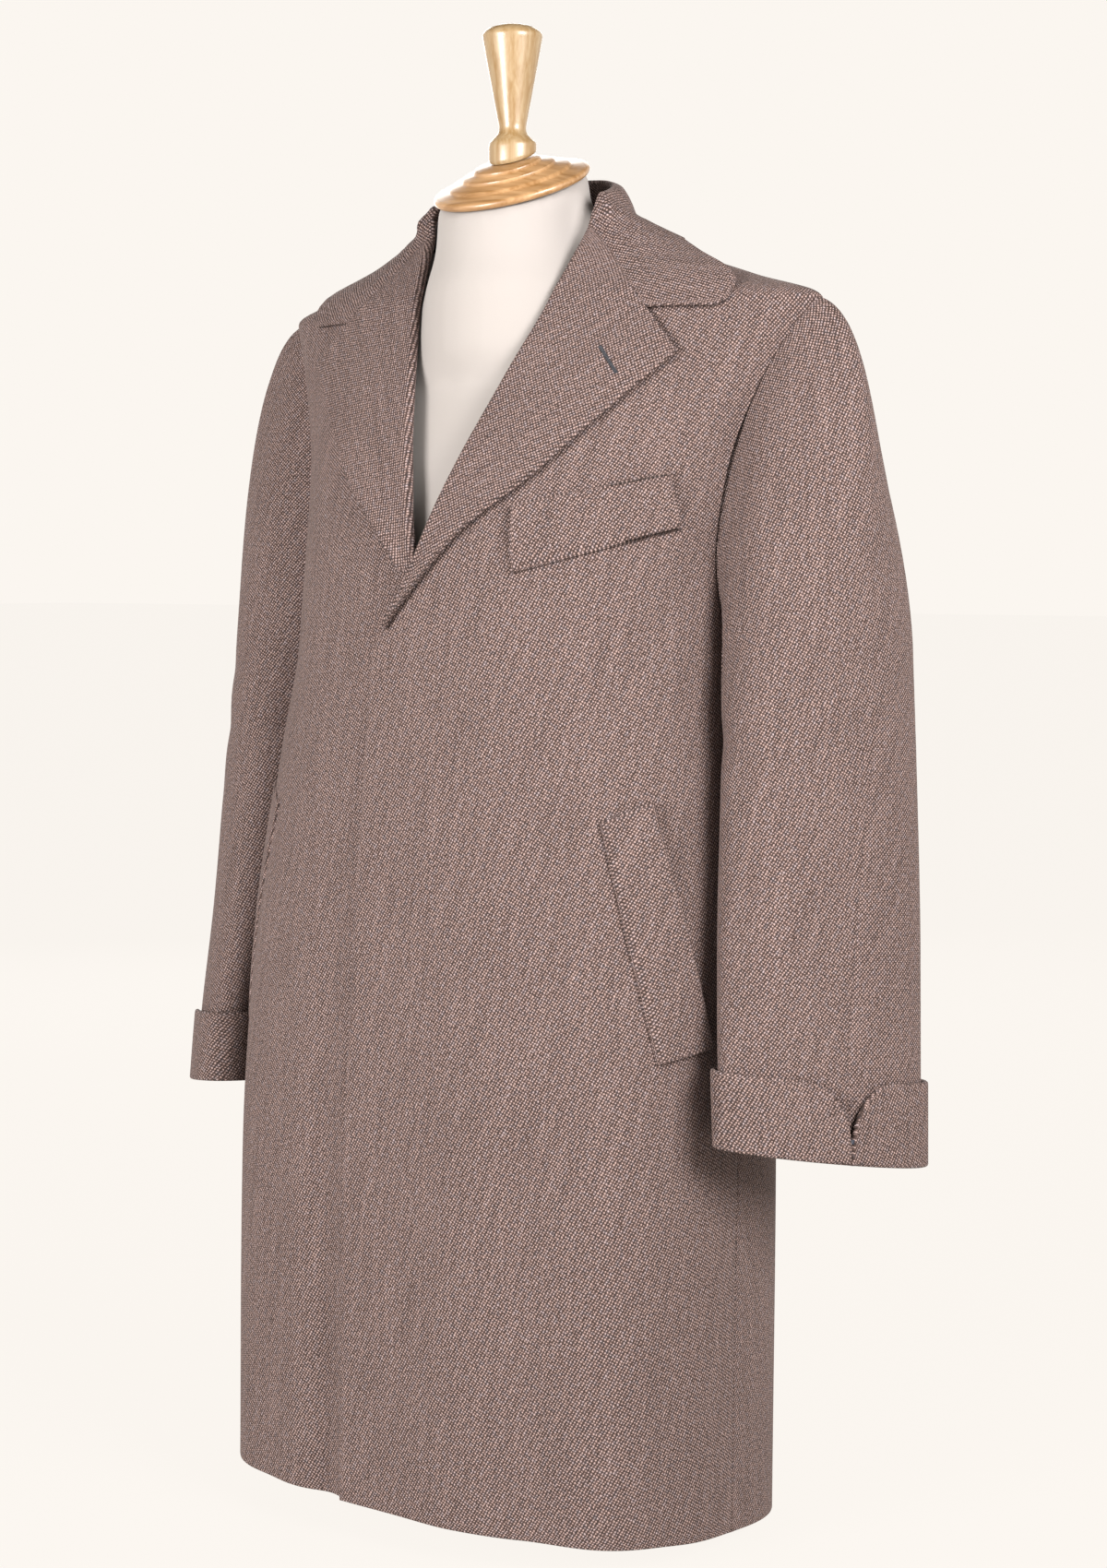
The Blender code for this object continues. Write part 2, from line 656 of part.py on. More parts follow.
def lie_clear(points, clearance):
    """Moves points out until they clear the coat's body."""
    points = points.copy()
    for _ in range(4):
        z = np.minimum(points[..., 2], NECK_Z)
        angle = np.arctan2(points[..., 1] - body("side_y", z), points[..., 0])
        normal = body_normal(angle, z)
        height = np.sum((points - body_point(angle, z)) * normal, axis=-1)
        ridge = 1 - smooth_step(np.abs(angle) / RIDGE_ANGLE)
        short = np.maximum(0.0, clearance + RIDGE_CLEAR * ridge - height)
        short[points[..., 2] > NECK_Z] = 0.0
        points += normal * short[..., None]
    return points


def collar_half():
    """Middle surface of the collar's left half: rows from the neck seam over the fold to the edge."""
    lay = CLOTH + COLLAR_CLEAR + FOLDED_CLOTH / 2
    share = np.linspace(0, 1, COLLAR_STATIONS)
    seam = neck_edge(COLLAR_STATIONS)
    away = seam - np.array([0.0, NECK_HOLE_Y, 0.0])
    away[:, 2] = 0.0
    away = unit(away)
    rise = smooth_curve(COLLAR_STAND, 1, share)[:, None] * np.array([0.0, 0.0, 1.0])
    fold = seam + rise + away * COLLAR_FOLD_OUT
    fall_turn = np.radians(np.linspace(COLLAR_FALL[0][0], COLLAR_FALL[-1][0], COLLAR_STATIONS))
    fall_z = smooth_curve(COLLAR_FALL, 1, np.degrees(fall_turn))
    edge = body_point(fall_turn, fall_z) + body_normal(fall_turn, fall_z) * lay
    over = fold + away * COLLAR_TURN_OUT - np.array([0.0, 0.0, COLLAR_TURN_DOWN])
    notch = panel_points("front", notch_pattern()[None], lay)[0]
    front_end = polyline([over[0], notch, edge[0]], COLLAR_LEAF_ROWS)
    down = np.linspace(0, 1, COLLAR_LEAF_ROWS)[:, None]
    knee = over[-1] + np.array(COLLAR_KNEE)
    centre_back = (1 - down) ** 2 * over[-1] + 2 * down * (1 - down) * knee + down**2 * edge[-1]
    leaf = coons(front_end, centre_back, over, edge)
    leaf = lie_clear(leaf, lay)
    low = seam + np.array([0.0, 0.0, SEAM_GAP])
    middle, high = (seam + rise * share + away * lean for share, lean in COLLAR_STAND_ROWS)
    return np.concatenate([np.stack([low, middle, high, fold]), leaf])


def build_collar(wool, collection):
    left = collar_half()
    surface = np.concatenate([left, mirrored(left)[:, -2::-1]], axis=1)
    normal = grid_normals(surface, closed=False)
    half = FOLDED_CLOTH / 2
    add_wall("collar", surface - normal * half, surface + normal * half, wool, collection)


def form_radius(turns, z, neck_radius):
    """Plan radius of the form round the coat's section centre: the coat's shape drawn in, or the neck."""
    above = np.minimum(z + FORM_DROP, NECK_Z)
    coat = body_point(turns, above)
    coat_radius = np.hypot(coat[:, 0], coat[:, 1] - body("side_y", above))
    low = smooth_step((FORM_SHOULDER_Z - z) / FORM_SHOULDER_FADE)
    off_ridge = smooth_step((np.abs(np.sin(turns)) - FORM_RIDGE[0]) / FORM_RIDGE[1])
    coat_radius -= FORM_SEAT + (FORM_EASE - FORM_SEAT) * np.maximum(low, off_ridge)
    coat_radius -= FORM_NECK_IN * smooth_step((z - FORM_NECK_Z) / FORM_NECK_FADE)
    off = NECK_Y - body("side_y", z)
    neck = off * np.sin(turns) + np.sqrt(neck_radius**2 - (off * np.cos(turns)) ** 2)
    return (coat_radius**FORM_BLEND + neck**FORM_BLEND) ** (1 / FORM_BLEND)


def build_form(cover, collection):
    """Limbless torso, close to the coat only along the shoulders, with flat arm plates and a tilted neck."""
    turns = np.linspace(0, 2 * math.pi, 40, endpoint=False)
    levels = [(z, FORM_CORE, 0.0) for z in np.linspace(FORM_BOTTOM_Z, FORM_CHEST_Z, 9)]
    levels += [(z, FORM_NECK_ROOT, 0.0) for z in FORM_SHOULDER_LEVELS]
    rings = []
    for level, neck_radius, tilt in levels + list(NECK_SECTIONS):
        z = level + tilt * neck_radius * np.sin(turns) * math.tan(NECK_TILT)
        radius = form_radius(turns, z, neck_radius)
        x = np.clip(radius * np.cos(turns), -FORM_ARM_X, FORM_ARM_X)
        rings.append(np.stack([x, body("side_y", z) + radius * np.sin(turns), z], axis=-1))
    around = np.stack([np.cos(turns), np.sin(turns), np.sin(turns) * math.tan(NECK_TILT)], axis=-1)
    rings[-1] = np.array([0.0, NECK_Y, NECK_TOP_Z]) + around * NECK_RADIUS
    rings = np.array(rings)
    rows, columns = rings.shape[:2]
    index = np.arange(rows * columns).reshape(rows, columns)
    ahead = np.roll(index, -1, axis=1)
    square = (index[:-1], ahead[:-1], ahead[1:], index[1:])
    faces = np.stack(square, axis=-1).reshape(-1, 4).tolist()
    faces += [index[0][::-1].tolist(), index[-1].tolist()]
    mesh = bpy.data.meshes.new("form_torso")
    mesh.from_pydata(rings.reshape(-1, 3).tolist(), [], faces)
    face_outwards(mesh)
    add_object("form_torso", mesh, cover, collection)


def turned(name, profile, segments, material, collection):
    """A turned piece: a profile of (radius, height), spun round Z."""
    mesh = bpy.data.meshes.new(name)
    points = [(radius, 0.0, height) for radius, height in profile]
    mesh.from_pydata(points, [(i, i + 1) for i in range(len(points) - 1)], [])
    obj = bpy.data.objects.new(name, mesh)
    collection.objects.link(obj)
    screw = obj.modifiers.new("spin", "SCREW")
    screw.steps = segments
    screw.render_steps = segments
    screw.use_merge_vertices = True
    screw.merge_threshold = 0.00001
    screw.use_smooth_shade = True
    mesh.materials.append(material)
    return obj


def build_neck_cap(wood, collection):
    """Low dome of turned wood on the neck's sloping end, with a small flat for the finial."""
    dome = []
    for share in np.linspace(0, 1, 6):
        radius = CAP_FLAT + (CAP_RADIUS - CAP_ROUND - CAP_FLAT) * math.sin(share * math.pi / 2)
        height = CAP_EDGE + (CAP_RISE - CAP_EDGE) * math.cos(share * math.pi / 2)
        dome.append((radius, height))
    rim = [(CAP_RADIUS, CAP_EDGE - CAP_ROUND), (CAP_RADIUS, CAP_FOOT_ROUND)]
    foot = [(CAP_RADIUS - CAP_FOOT_ROUND, 0.0), (0.0, 0.0)]
    profile = [(0.0, CAP_RISE)] + dome + rim + foot
    cap = turned("neck_cap", profile, 40, wood, collection)
    cap.location = (0.0, NECK_Y, NECK_TOP_Z + SEAM_GAP / math.cos(NECK_TILT))
    cap.rotation_euler = (NECK_TILT, 0.0, 0.0)


def build_finial(wood, collection):
    """Upright handle whose foot is cut to the slope of the cap's flat."""
    profile = [(0.0, FINIAL_TOP)] + list(FINIAL_PROFILE[::-1]) + [(0.0, 0.0)]
    finial = turned("finial", profile, 32, wood, collection)
    graph = bpy.context.evaluated_depsgraph_get()
    mesh = bpy.data.meshes.new_from_object(finial.evaluated_get(graph))
    bpy.data.objects.remove(finial, do_unlink=True)
    foot = CAP_RISE / math.cos(NECK_TILT) + 2 * SEAM_GAP / math.cos(NECK_TILT)
    for vertex in mesh.vertices:
        near_foot = 1 - min(1.0, vertex.co.z / FINIAL_COLLAR_TOP)
        vertex.co.z += NECK_TOP_Z + foot + vertex.co.y * math.tan(NECK_TILT) * near_foot
        vertex.co.y += NECK_Y
    obj = bpy.data.objects.new("finial", mesh)
    collection.objects.link(obj)


def build_stand(steel, collection):
    bpy.ops.mesh.primitive_cylinder_add(
        vertices=48, radius=BASE_RADIUS, depth=BASE_HEIGHT, location=(0, 0, BASE_HEIGHT / 2)
    )
    base = bpy.context.object
    base.name = "base"
    bevel = base.modifiers.new("edge", "BEVEL")
    bevel.width = BASE_BEVEL
    bevel.segments = 1
    pole_low = BASE_HEIGHT + SEAM_GAP
    pole_high = LIFT + FORM_BOTTOM_Z - SEAM_GAP
    bpy.ops.mesh.primitive_cylinder_add(
        vertices=24,
        radius=POLE_RADIUS,
        depth=pole_high - pole_low,
        location=(0, 0, (pole_high + pole_low) / 2),
    )
    pole = bpy.context.object
    pole.name = "pole"
    for obj in (base, pole):
        obj.data.materials.append(steel)
        for holder in list(obj.users_collection):
            holder.objects.unlink(obj)
        collection.objects.link(obj)


def main():
    clear_scene()
    collection = bpy.data.collections.new("fly_front_overcoat")
    bpy.context.scene.collection.children.link(collection)
    materials = {name: make_material(name) for name in MATERIALS}
    wool = materials["wool"]
    build_fronts(wool, collection)
    build_back(wool, collection)
    build_lapels(wool, collection)
    build_collar(wool, collection)
    build_welts(wool, collection)
    build_sleeves(wool, collection)
    build_cuffs(wool, collection)
    build_form(materials["form_cloth"], collection)
    build_neck_cap(materials["wood"], collection)
    build_finial(materials["wood"], collection)
    carrier = bpy.data.objects.new("carrier", None)
    carrier.location = (0.0, 0.0, LIFT)
    for obj in list(collection.objects):
        obj.parent = carrier
    collection.objects.link(carrier)
    build_stand(materials["painted_steel"], collection)


main()
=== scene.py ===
import math

import bpy
import numpy as np
from mathutils import Matrix, Vector


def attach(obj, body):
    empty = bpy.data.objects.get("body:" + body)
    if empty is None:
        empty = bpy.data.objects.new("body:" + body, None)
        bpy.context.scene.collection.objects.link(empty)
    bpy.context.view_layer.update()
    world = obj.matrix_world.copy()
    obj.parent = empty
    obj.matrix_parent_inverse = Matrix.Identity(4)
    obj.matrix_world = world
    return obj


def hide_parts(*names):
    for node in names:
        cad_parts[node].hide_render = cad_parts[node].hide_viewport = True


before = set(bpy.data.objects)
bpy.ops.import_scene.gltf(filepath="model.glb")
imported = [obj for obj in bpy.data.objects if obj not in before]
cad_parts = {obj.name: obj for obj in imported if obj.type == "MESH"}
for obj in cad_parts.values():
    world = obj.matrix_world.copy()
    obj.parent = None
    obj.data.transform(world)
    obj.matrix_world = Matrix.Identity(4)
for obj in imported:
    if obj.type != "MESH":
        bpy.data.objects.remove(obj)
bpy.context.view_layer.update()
print("frame:", len(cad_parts), "solids")


# level sections of the coat's inside, hem to neck, in metres above its own datum
coatBody = {
    "lift": 0.012,  # datum above the floor
    "columns": ("z", "halfWidth", "frontY", "backY", "sideY", "fullness"),
    "sections": (
        (0.000, 0.206, -0.152, 0.128, -0.012, 3.00),
        (0.260, 0.206, -0.146, 0.132, -0.006, 2.90),
        (0.430, 0.203, -0.134, 0.132, 0.000, 2.60),
        (0.560, 0.191, -0.120, 0.132, 0.006, 2.35),
        (0.640, 0.183, -0.112, 0.136, 0.012, 2.20),
        (0.705, 0.182, -0.110, 0.142, 0.020, 2.10),
        (0.779, 0.192, -0.089, 0.146, 0.030, 2.00),
        (0.844, 0.214, -0.060, 0.144, 0.040, 1.90),
        (0.880, 0.231, -0.042, 0.137, 0.046, 1.75),
        (0.898, 0.239, -0.034, 0.130, 0.049, 1.65),
        (0.915, 0.188, -0.026, 0.121, 0.047, 1.70),
        (0.935, 0.131, -0.017, 0.107, 0.039, 1.80),
        (0.955, 0.090, -0.008, 0.092, 0.022, 1.90),
        (0.972, 0.073, -0.003, 0.078, 0.009, 2.00),
    ),
    "hem": 0.0125,
    "underarm": 0.665,
    "shoulderTip": 0.897,
    "neck": 0.970,
    "hemWay": (0.81, 0.59),  # the hem hangs low towards here
    "hemReach": 0.200,
    "hemFall": 0.090,
    "hemRise": 0.031,
    "hemEven": 0.300,
    "frontScoop": 0.023,
    "backScoop": 0.058,
    "cloth": 0.0028,  # wool and lining
    "folded": 0.0042,  # two layers of wool
    "seamGap": 0.0003,
    "laidGap": 0.0007,
    "levelCount": 240,  # fineness of the tables below
    "quarterSteps": 60,
}


def hermite(t, start, leave, end, arrive):  # a curve from start to end with its two end slopes
    ends = (2 * t**3 - 3 * t**2 + 1) * start + (3 * t**2 - 2 * t**3) * end
    return ends + (t**3 - 2 * t**2 + t) * leave + (t**3 - t**2) * arrive


def smoothCurve(rows, column, at):  # reads a table column along a curve that never overshoots
    table = np.array(rows, float)
    table = table[np.argsort(table[:, 0])]
    knots, values = table[:, 0], table[:, column]
    steps = np.diff(knots)
    slopes = np.diff(values) / steps
    tangents = np.concatenate([slopes[:1], np.zeros(len(knots) - 2), slopes[-1:]])
    for i in range(1, len(knots) - 1):
        if slopes[i - 1] * slopes[i] > 0:
            before = 2 * steps[i] + steps[i - 1]
            after = steps[i] + 2 * steps[i - 1]
            tangents[i] = (before + after) / (before / slopes[i - 1] + after / slopes[i])
    at = np.clip(np.asarray(at, float), knots[0], knots[-1])
    i = np.clip(np.searchsorted(knots, at) - 1, 0, len(knots) - 2)
    t = (at - knots[i]) / steps[i]
    return hermite(t, values[i], steps[i] * tangents[i], values[i + 1], steps[i] * tangents[i + 1])


def smoothStep(value):
    value = np.clip(value, 0.0, 1.0)
    return value * value * (3 - 2 * value)


def unit(vectors):
    return vectors / np.maximum(np.linalg.norm(vectors, axis=-1, keepdims=True), 1e-12)


def bodyAt(name, z):
    return smoothCurve(coatBody["sections"], coatBody["columns"].index(name), z)


def bodyPoint(angle, z):  # angle in plan, from the wearer's left side towards the back
    angle, z = np.broadcast_arrays(np.asarray(angle, float), np.asarray(z, float))
    sideY = bodyAt("sideY", z)
    deep = np.where(np.sin(angle) < 0, sideY - bodyAt("frontY", z), bodyAt("backY", z) - sideY)
    power = bodyAt("fullness", z)
    across = np.abs(np.cos(angle) / bodyAt("halfWidth", z)) ** power
    along = np.abs(np.sin(angle) / deep) ** power
    radius = (across + along) ** (-1 / power)
    return np.stack([radius * np.cos(angle), sideY + radius * np.sin(angle), z], axis=-1)


def bodyNormal(angle, z):
    turn, rise = 0.01, 0.002
    roundWay = bodyPoint(angle + turn, z) - bodyPoint(angle - turn, z)
    upWay = bodyPoint(angle, z + rise) - bodyPoint(angle, z - rise)
    return unit(np.cross(roundWay, upWay))


# lengths round the body and up it, so that flat patterns can be laid on it
levels = np.linspace(0.0, coatBody["sections"][-1][0], coatBody["levelCount"])
quarter = {}
for face, centre in (("front", -math.pi / 2), ("back", math.pi / 2)):
    quarter[face] = np.linspace(centre, 0.0, coatBody["quarterSteps"] + 1)
girthTable, reachTable, riseTable = {}, {}, {}
for face, angles in quarter.items():
    points = bodyPoint(angles[None, :], levels[:, None])
    around = np.linalg.norm(np.diff(points, axis=1), axis=2)
    upwards = np.linalg.norm(np.diff(points, axis=0), axis=2)
    girthTable[face] = np.pad(np.cumsum(around, axis=1), ((0, 0), (1, 0)))
    riseTable[face] = np.pad(np.cumsum(upwards, axis=0), ((1, 0), (0, 0)))
    reachTable[face] = points[..., 0]


def atLevel(table, z):
    place = np.clip(z / levels[-1] * (len(levels) - 1), 0, len(levels) - 1.001)
    low = place.astype(int)
    share = (place - low)[:, None]
    return table[low] * (1 - share) + table[low + 1] * share


def rowInterp(x, xs, ys):
    at = np.clip((xs < x[:, None]).sum(axis=1), 1, xs.shape[1] - 1)
    n = np.arange(len(x))
    x0, x1, y0, y1 = xs[n, at - 1], xs[n, at], ys[n, at - 1], ys[n, at]
    return y0 + (y1 - y0) * np.clip((x - x0) / np.maximum(x1 - x0, 1e-9), 0, 1)


def halfGirth(face, z):
    return atLevel(girthTable[face], np.atleast_1d(z))[:, -1]


def girthAt(face, across, z):
    across, z = np.broadcast_arrays(np.atleast_1d(across).astype(float), np.atleast_1d(z).astype(float))
    found = rowInterp(np.abs(across), atLevel(reachTable[face], z), atLevel(girthTable[face], z))
    return np.copysign(found, across)


def panelAngle(face, girth, z):
    lengths = atLevel(girthTable[face], z.ravel())
    turns = np.broadcast_to(quarter[face], lengths.shape)
    angle = rowInterp(np.abs(girth.ravel()), lengths, turns)
    half = -math.pi if face == "front" else math.pi
    return np.where(girth.ravel() < 0, half - angle, angle).reshape(girth.shape)


def panelPoints(face, pattern, out):  # lays a pattern of (girth, height) on the body, moved out
    z = pattern[..., 1]
    angle = panelAngle(face, pattern[..., 0], z)
    out = np.broadcast_to(np.asarray(out, float), z.shape)
    return bodyPoint(angle, z) + bodyNormal(angle, z) * out[..., None]


def grainMap(face, pattern):  # true lengths along the cloth, for the weave
    girth, z = pattern[..., 0].ravel(), pattern[..., 1].ravel()
    angle = np.abs(panelAngle(face, np.abs(girth), z))
    steps = coatBody["quarterSteps"]
    place = np.clip((1 - angle / (math.pi / 2)) * steps, 0, steps - 0.001)
    low = place.astype(int)
    rise = atLevel(riseTable[face], z)
    n = np.arange(len(z))
    up = rise[n, low] * (1 - place + low) + rise[n, low + 1] * (place - low)
    return np.stack([girth, up], axis=-1).reshape(pattern.shape)


def coons(left, right, bottom, top, rise=None):
    # fills four edges of a pattern; rise is how much of the top's shape each row takes
    v = np.linspace(0, 1, len(left)) if rise is None else rise
    v = v[:, None, None]
    u = np.linspace(0, 1, len(bottom))[None, :, None]
    corners = (1 - v) * ((1 - u) * left[0] + u * right[0]) + v * ((1 - u) * left[-1] + u * right[-1])
    return (1 - u) * left[:, None] + u * right[:, None] + (1 - v) * bottom + v * top - corners


def polyline(points, count):
    points = np.array(points, float)
    spans = np.linalg.norm(np.diff(points, axis=0), axis=1)
    shares = np.maximum(1, np.round(spans / spans.sum() * (count - 1))).astype(int)
    shares[np.argmax(shares)] += count - 1 - shares.sum()
    runs = [np.linspace(points[i], points[i + 1], n + 1)[:-1] for i, n in enumerate(shares)]
    return np.concatenate(runs + [points[-1:]])


def gridNormals(grid, closed=False):
    if closed:
        across = np.roll(grid, -1, axis=1) - np.roll(grid, 1, axis=1)
    else:
        across = np.gradient(grid, axis=1)
    return unit(np.cross(across, np.gradient(grid, axis=0)))


def roundCorner(grid, radius, column):  # rounds the last row's corner at column 0 or -1
    turned = grid[::-1, :: 1 if column == 0 else -1].copy()
    down = np.gradient(turned, axis=0)
    across = np.gradient(turned, axis=1)
    fromRow = np.cumsum(np.linalg.norm(down, axis=2), axis=0) - np.linalg.norm(down[:1], axis=2)
    fromColumn = np.cumsum(np.linalg.norm(across, axis=2), axis=1) - np.linalg.norm(across[:, :1], axis=2)
    off = np.stack([radius - fromRow, radius - fromColumn], axis=-1)
    reach = np.linalg.norm(off, axis=-1)
    outside = (off > 0).all(axis=-1) & (reach > 0)
    square = np.max(off, axis=-1)
    shrink = np.where(outside, 1 - square / np.maximum(reach, 1e-9), 0.0)
    turned += (unit(down) * off[..., :1] + unit(across) * off[..., 1:]) * shrink[..., None]
    return turned[::-1, :: 1 if column == 0 else -1]


creaseBow = {"share": 0.12, "waves": 7.0, "shift": 40.0}  # how a crease wanders sideways


def creaseLift(pattern, creases):
    # each crease: from, to, half width, depth at both ends; troughs are negative
    lift = np.zeros(pattern.shape[:2])
    for fromU, fromV, toU, toV, wide, deepFrom, deepTo in creases:
        start, way = np.array((fromU, fromV)), np.array((toU - fromU, toV - fromV))
        along = np.clip(((pattern - start) @ way) / (way @ way), 0, 1)
        wander = np.sin(creaseBow["waves"] * along + creaseBow["shift"] * fromU)[..., None]
        bow = creaseBow["share"] * wide * wander * unit(np.array((way[1], -way[0])))
        away = np.linalg.norm(pattern - start - along[..., None] * way - bow, axis=-1)
        lift += (deepFrom + (deepTo - deepFrom) * along) * np.exp(-((away / wide) ** 2))
    return lift


def mirrored(grid):
    return grid[:, ::-1] * np.array([-1.0, 1.0, 1.0])


def flipped(pattern):
    return pattern[:, ::-1] * np.array([-1.0, 1.0])


def droop(grid):  # the hem hangs lower at the wearer's left and back
    grid = grid.copy()
    share = smoothStep((coatBody["hemEven"] - grid[..., 2]) / (coatBody["hemEven"] - coatBody["hem"]))
    along = grid[..., :2] @ np.array(coatBody["hemWay"])
    fall = coatBody["hemFall"] * along**2 / coatBody["hemReach"]
    grid[..., 2] -= share * np.where(along > 0, fall, coatBody["hemRise"] * along)
    return grid


def gridFaces(rows, columns):
    index = np.arange(rows * columns).reshape(rows, columns)
    corners = (index[:-1, :-1], index[:-1, 1:], index[1:, 1:], index[1:, :-1])
    return index, np.stack(corners, axis=-1).reshape(-1, 4)


clothRim = {"round": 0.45, "sewn": 0.14, "steps": 6}  # how far the rim bulges, in thicknesses


def clothWall(name, middle, pattern, thick, materials, sewn=()):
    # a sheet with thickness and a rolled rim, flatter where it is sewn; the inside takes the last material
    rows, columns = middle.shape[:2]
    rounds = clothRim["steps"]
    index, square = gridFaces(rows, columns)
    rim = np.concatenate([index[0, :-1], index[:-1, -1], index[-1, :0:-1], index[:0:-1, 0]])
    bulge = np.full((rows, columns), clothRim["round"] * thick)
    for place in sewn:
        bulge[place] = clothRim["sewn"] * thick
    bulge = bulge.reshape(-1, 1)[rim]
    inner = np.clip(rim // columns, 1, rows - 2) * columns + np.clip(rim % columns, 1, columns - 2)
    flat, normal = middle.reshape(-1, 3).copy(), gridNormals(middle).reshape(-1, 3)
    uv = pattern.reshape(-1, 2)
    away = unit(flat[rim] - flat[inner])
    flat[rim] -= away * bulge
    points, maps = [flat + normal * thick / 2, flat - normal * thick / 2], [uv, uv]
    for k in range(1, rounds):
        turn = math.pi * k / rounds
        points.append(flat[rim] + normal[rim] * thick / 2 * math.cos(turn) + away * bulge * math.sin(turn))
        maps.append(uv[rim] + unit(uv[rim] - uv[inner]) * thick * k / rounds)
    total = rows * columns
    faces = [square, square[:, ::-1] + total]
    rings = [2 * total + k * len(rim) + np.arange(len(rim)) for k in range(rounds - 1)]
    loops = [rim, *rings, rim + total]
    for near, far in zip(loops[:-1], loops[1:]):
        faces.append(np.stack([near, far, np.roll(far, -1), np.roll(near, -1)], axis=-1))
    slots = [np.zeros(len(square), int), np.ones(len(square), int), np.zeros(len(rim) * rounds, int)]
    shell = [np.concatenate(part) for part in (points, faces, maps, slots)]
    return sheetObject(name, *shell, materials)


weldWithin = 0.00001  # points this close are one


def addObject(name, data):
    obj = bpy.data.objects.new(name, data)
    bpy.context.scene.collection.objects.link(obj)
    return obj


def selectOnly(obj):
    bpy.ops.object.select_all(action="DESELECT")
    obj.select_set(True)
    bpy.context.view_layer.objects.active = obj


def sheetObject(name, points, faces, uv, slots, materials):
    mesh = bpy.data.meshes.new(name)
    placed = points + np.array([0.0, 0.0, coatBody["lift"]])
    mesh.from_pydata(placed.tolist(), [], faces.tolist())
    layer = mesh.uv_layers.new(name="pattern")
    corners = np.empty(len(mesh.loops), int)
    mesh.loops.foreach_get("vertex_index", corners)
    layer.data.foreach_set("uv", uv[corners].astype(np.float32).ravel())
    for material in materials:
        mesh.materials.append(material)
    mesh.polygons.foreach_set("material_index", np.minimum(slots, len(materials) - 1).astype(np.int32))
    mesh.shade_smooth()
    return addObject(name, mesh)


def finishCloth(obj, node):
    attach(obj, "root")
    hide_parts(node)


def linear(hexColour):
    channels = [int(hexColour[i : i + 2], 16) / 255 for i in (1, 3, 5)]
    return [c / 12.92 if c <= 0.04045 else ((c + 0.055) / 1.055) ** 2.4 for c in channels] + [1.0]


def setSockets(tree, node, **sockets):  # i0, i1 are sockets by number
    for name, value in sockets.items():
        key = int(name[1:]) if name[1:].isdigit() else name.replace("_", " ")
        if isinstance(value, bpy.types.NodeSocket):
            tree.links.new(value, node.inputs[key])
        else:
            node.inputs[key].default_value = value


def addNode(tree, kind, settings=None, **sockets):
    node = tree.nodes.new(kind)
    for name, value in (settings or {}).items():
        setattr(node, name, value)
    setSockets(tree, node, **sockets)
    return node


def newMaterial(name):
    material = bpy.data.materials.new(name)
    material.use_nodes = True
    return material, material.node_tree, material.node_tree.nodes["Principled BSDF"]


# wool birdseye: light specks in steep twill lines on dark brown, uneven, matt with a little fuzz
wool = {
    "across": 2.1,  # mm between twill lines; the real 1.6 is too fine to show, so it is drawn coarser
    "along": 2.0,  # mm between specks on a line
    "steep": 62,  # degrees of the twill line above the weft
    "dark": "#2e231f",
    "middle": "#503e39",
    "light": "#957f78",
    "cool": "#8b8790",  # grey-blue fibres among the brown
    "streaks": ((76, 6.0, 70.0, 0.26), (90, 2.6, 120.0, 0.24)),  # lean, width, length in mm, share
    "yarn": 1.30,  # unevenness from speck to speck
    "wander": 2.2,  # how far the twill lines stray
    "broken": (0.82, 0.18),  # share of a line that its specks break, and that stays
    "stops": (0.0, 0.36, 0.86),  # tones of dark, middle and light
    "coolTones": (0.45, 0.75),
    "coolMost": 0.4,
    "relief": 0.0004,
    "fuzz": "#d8c4b8",
}


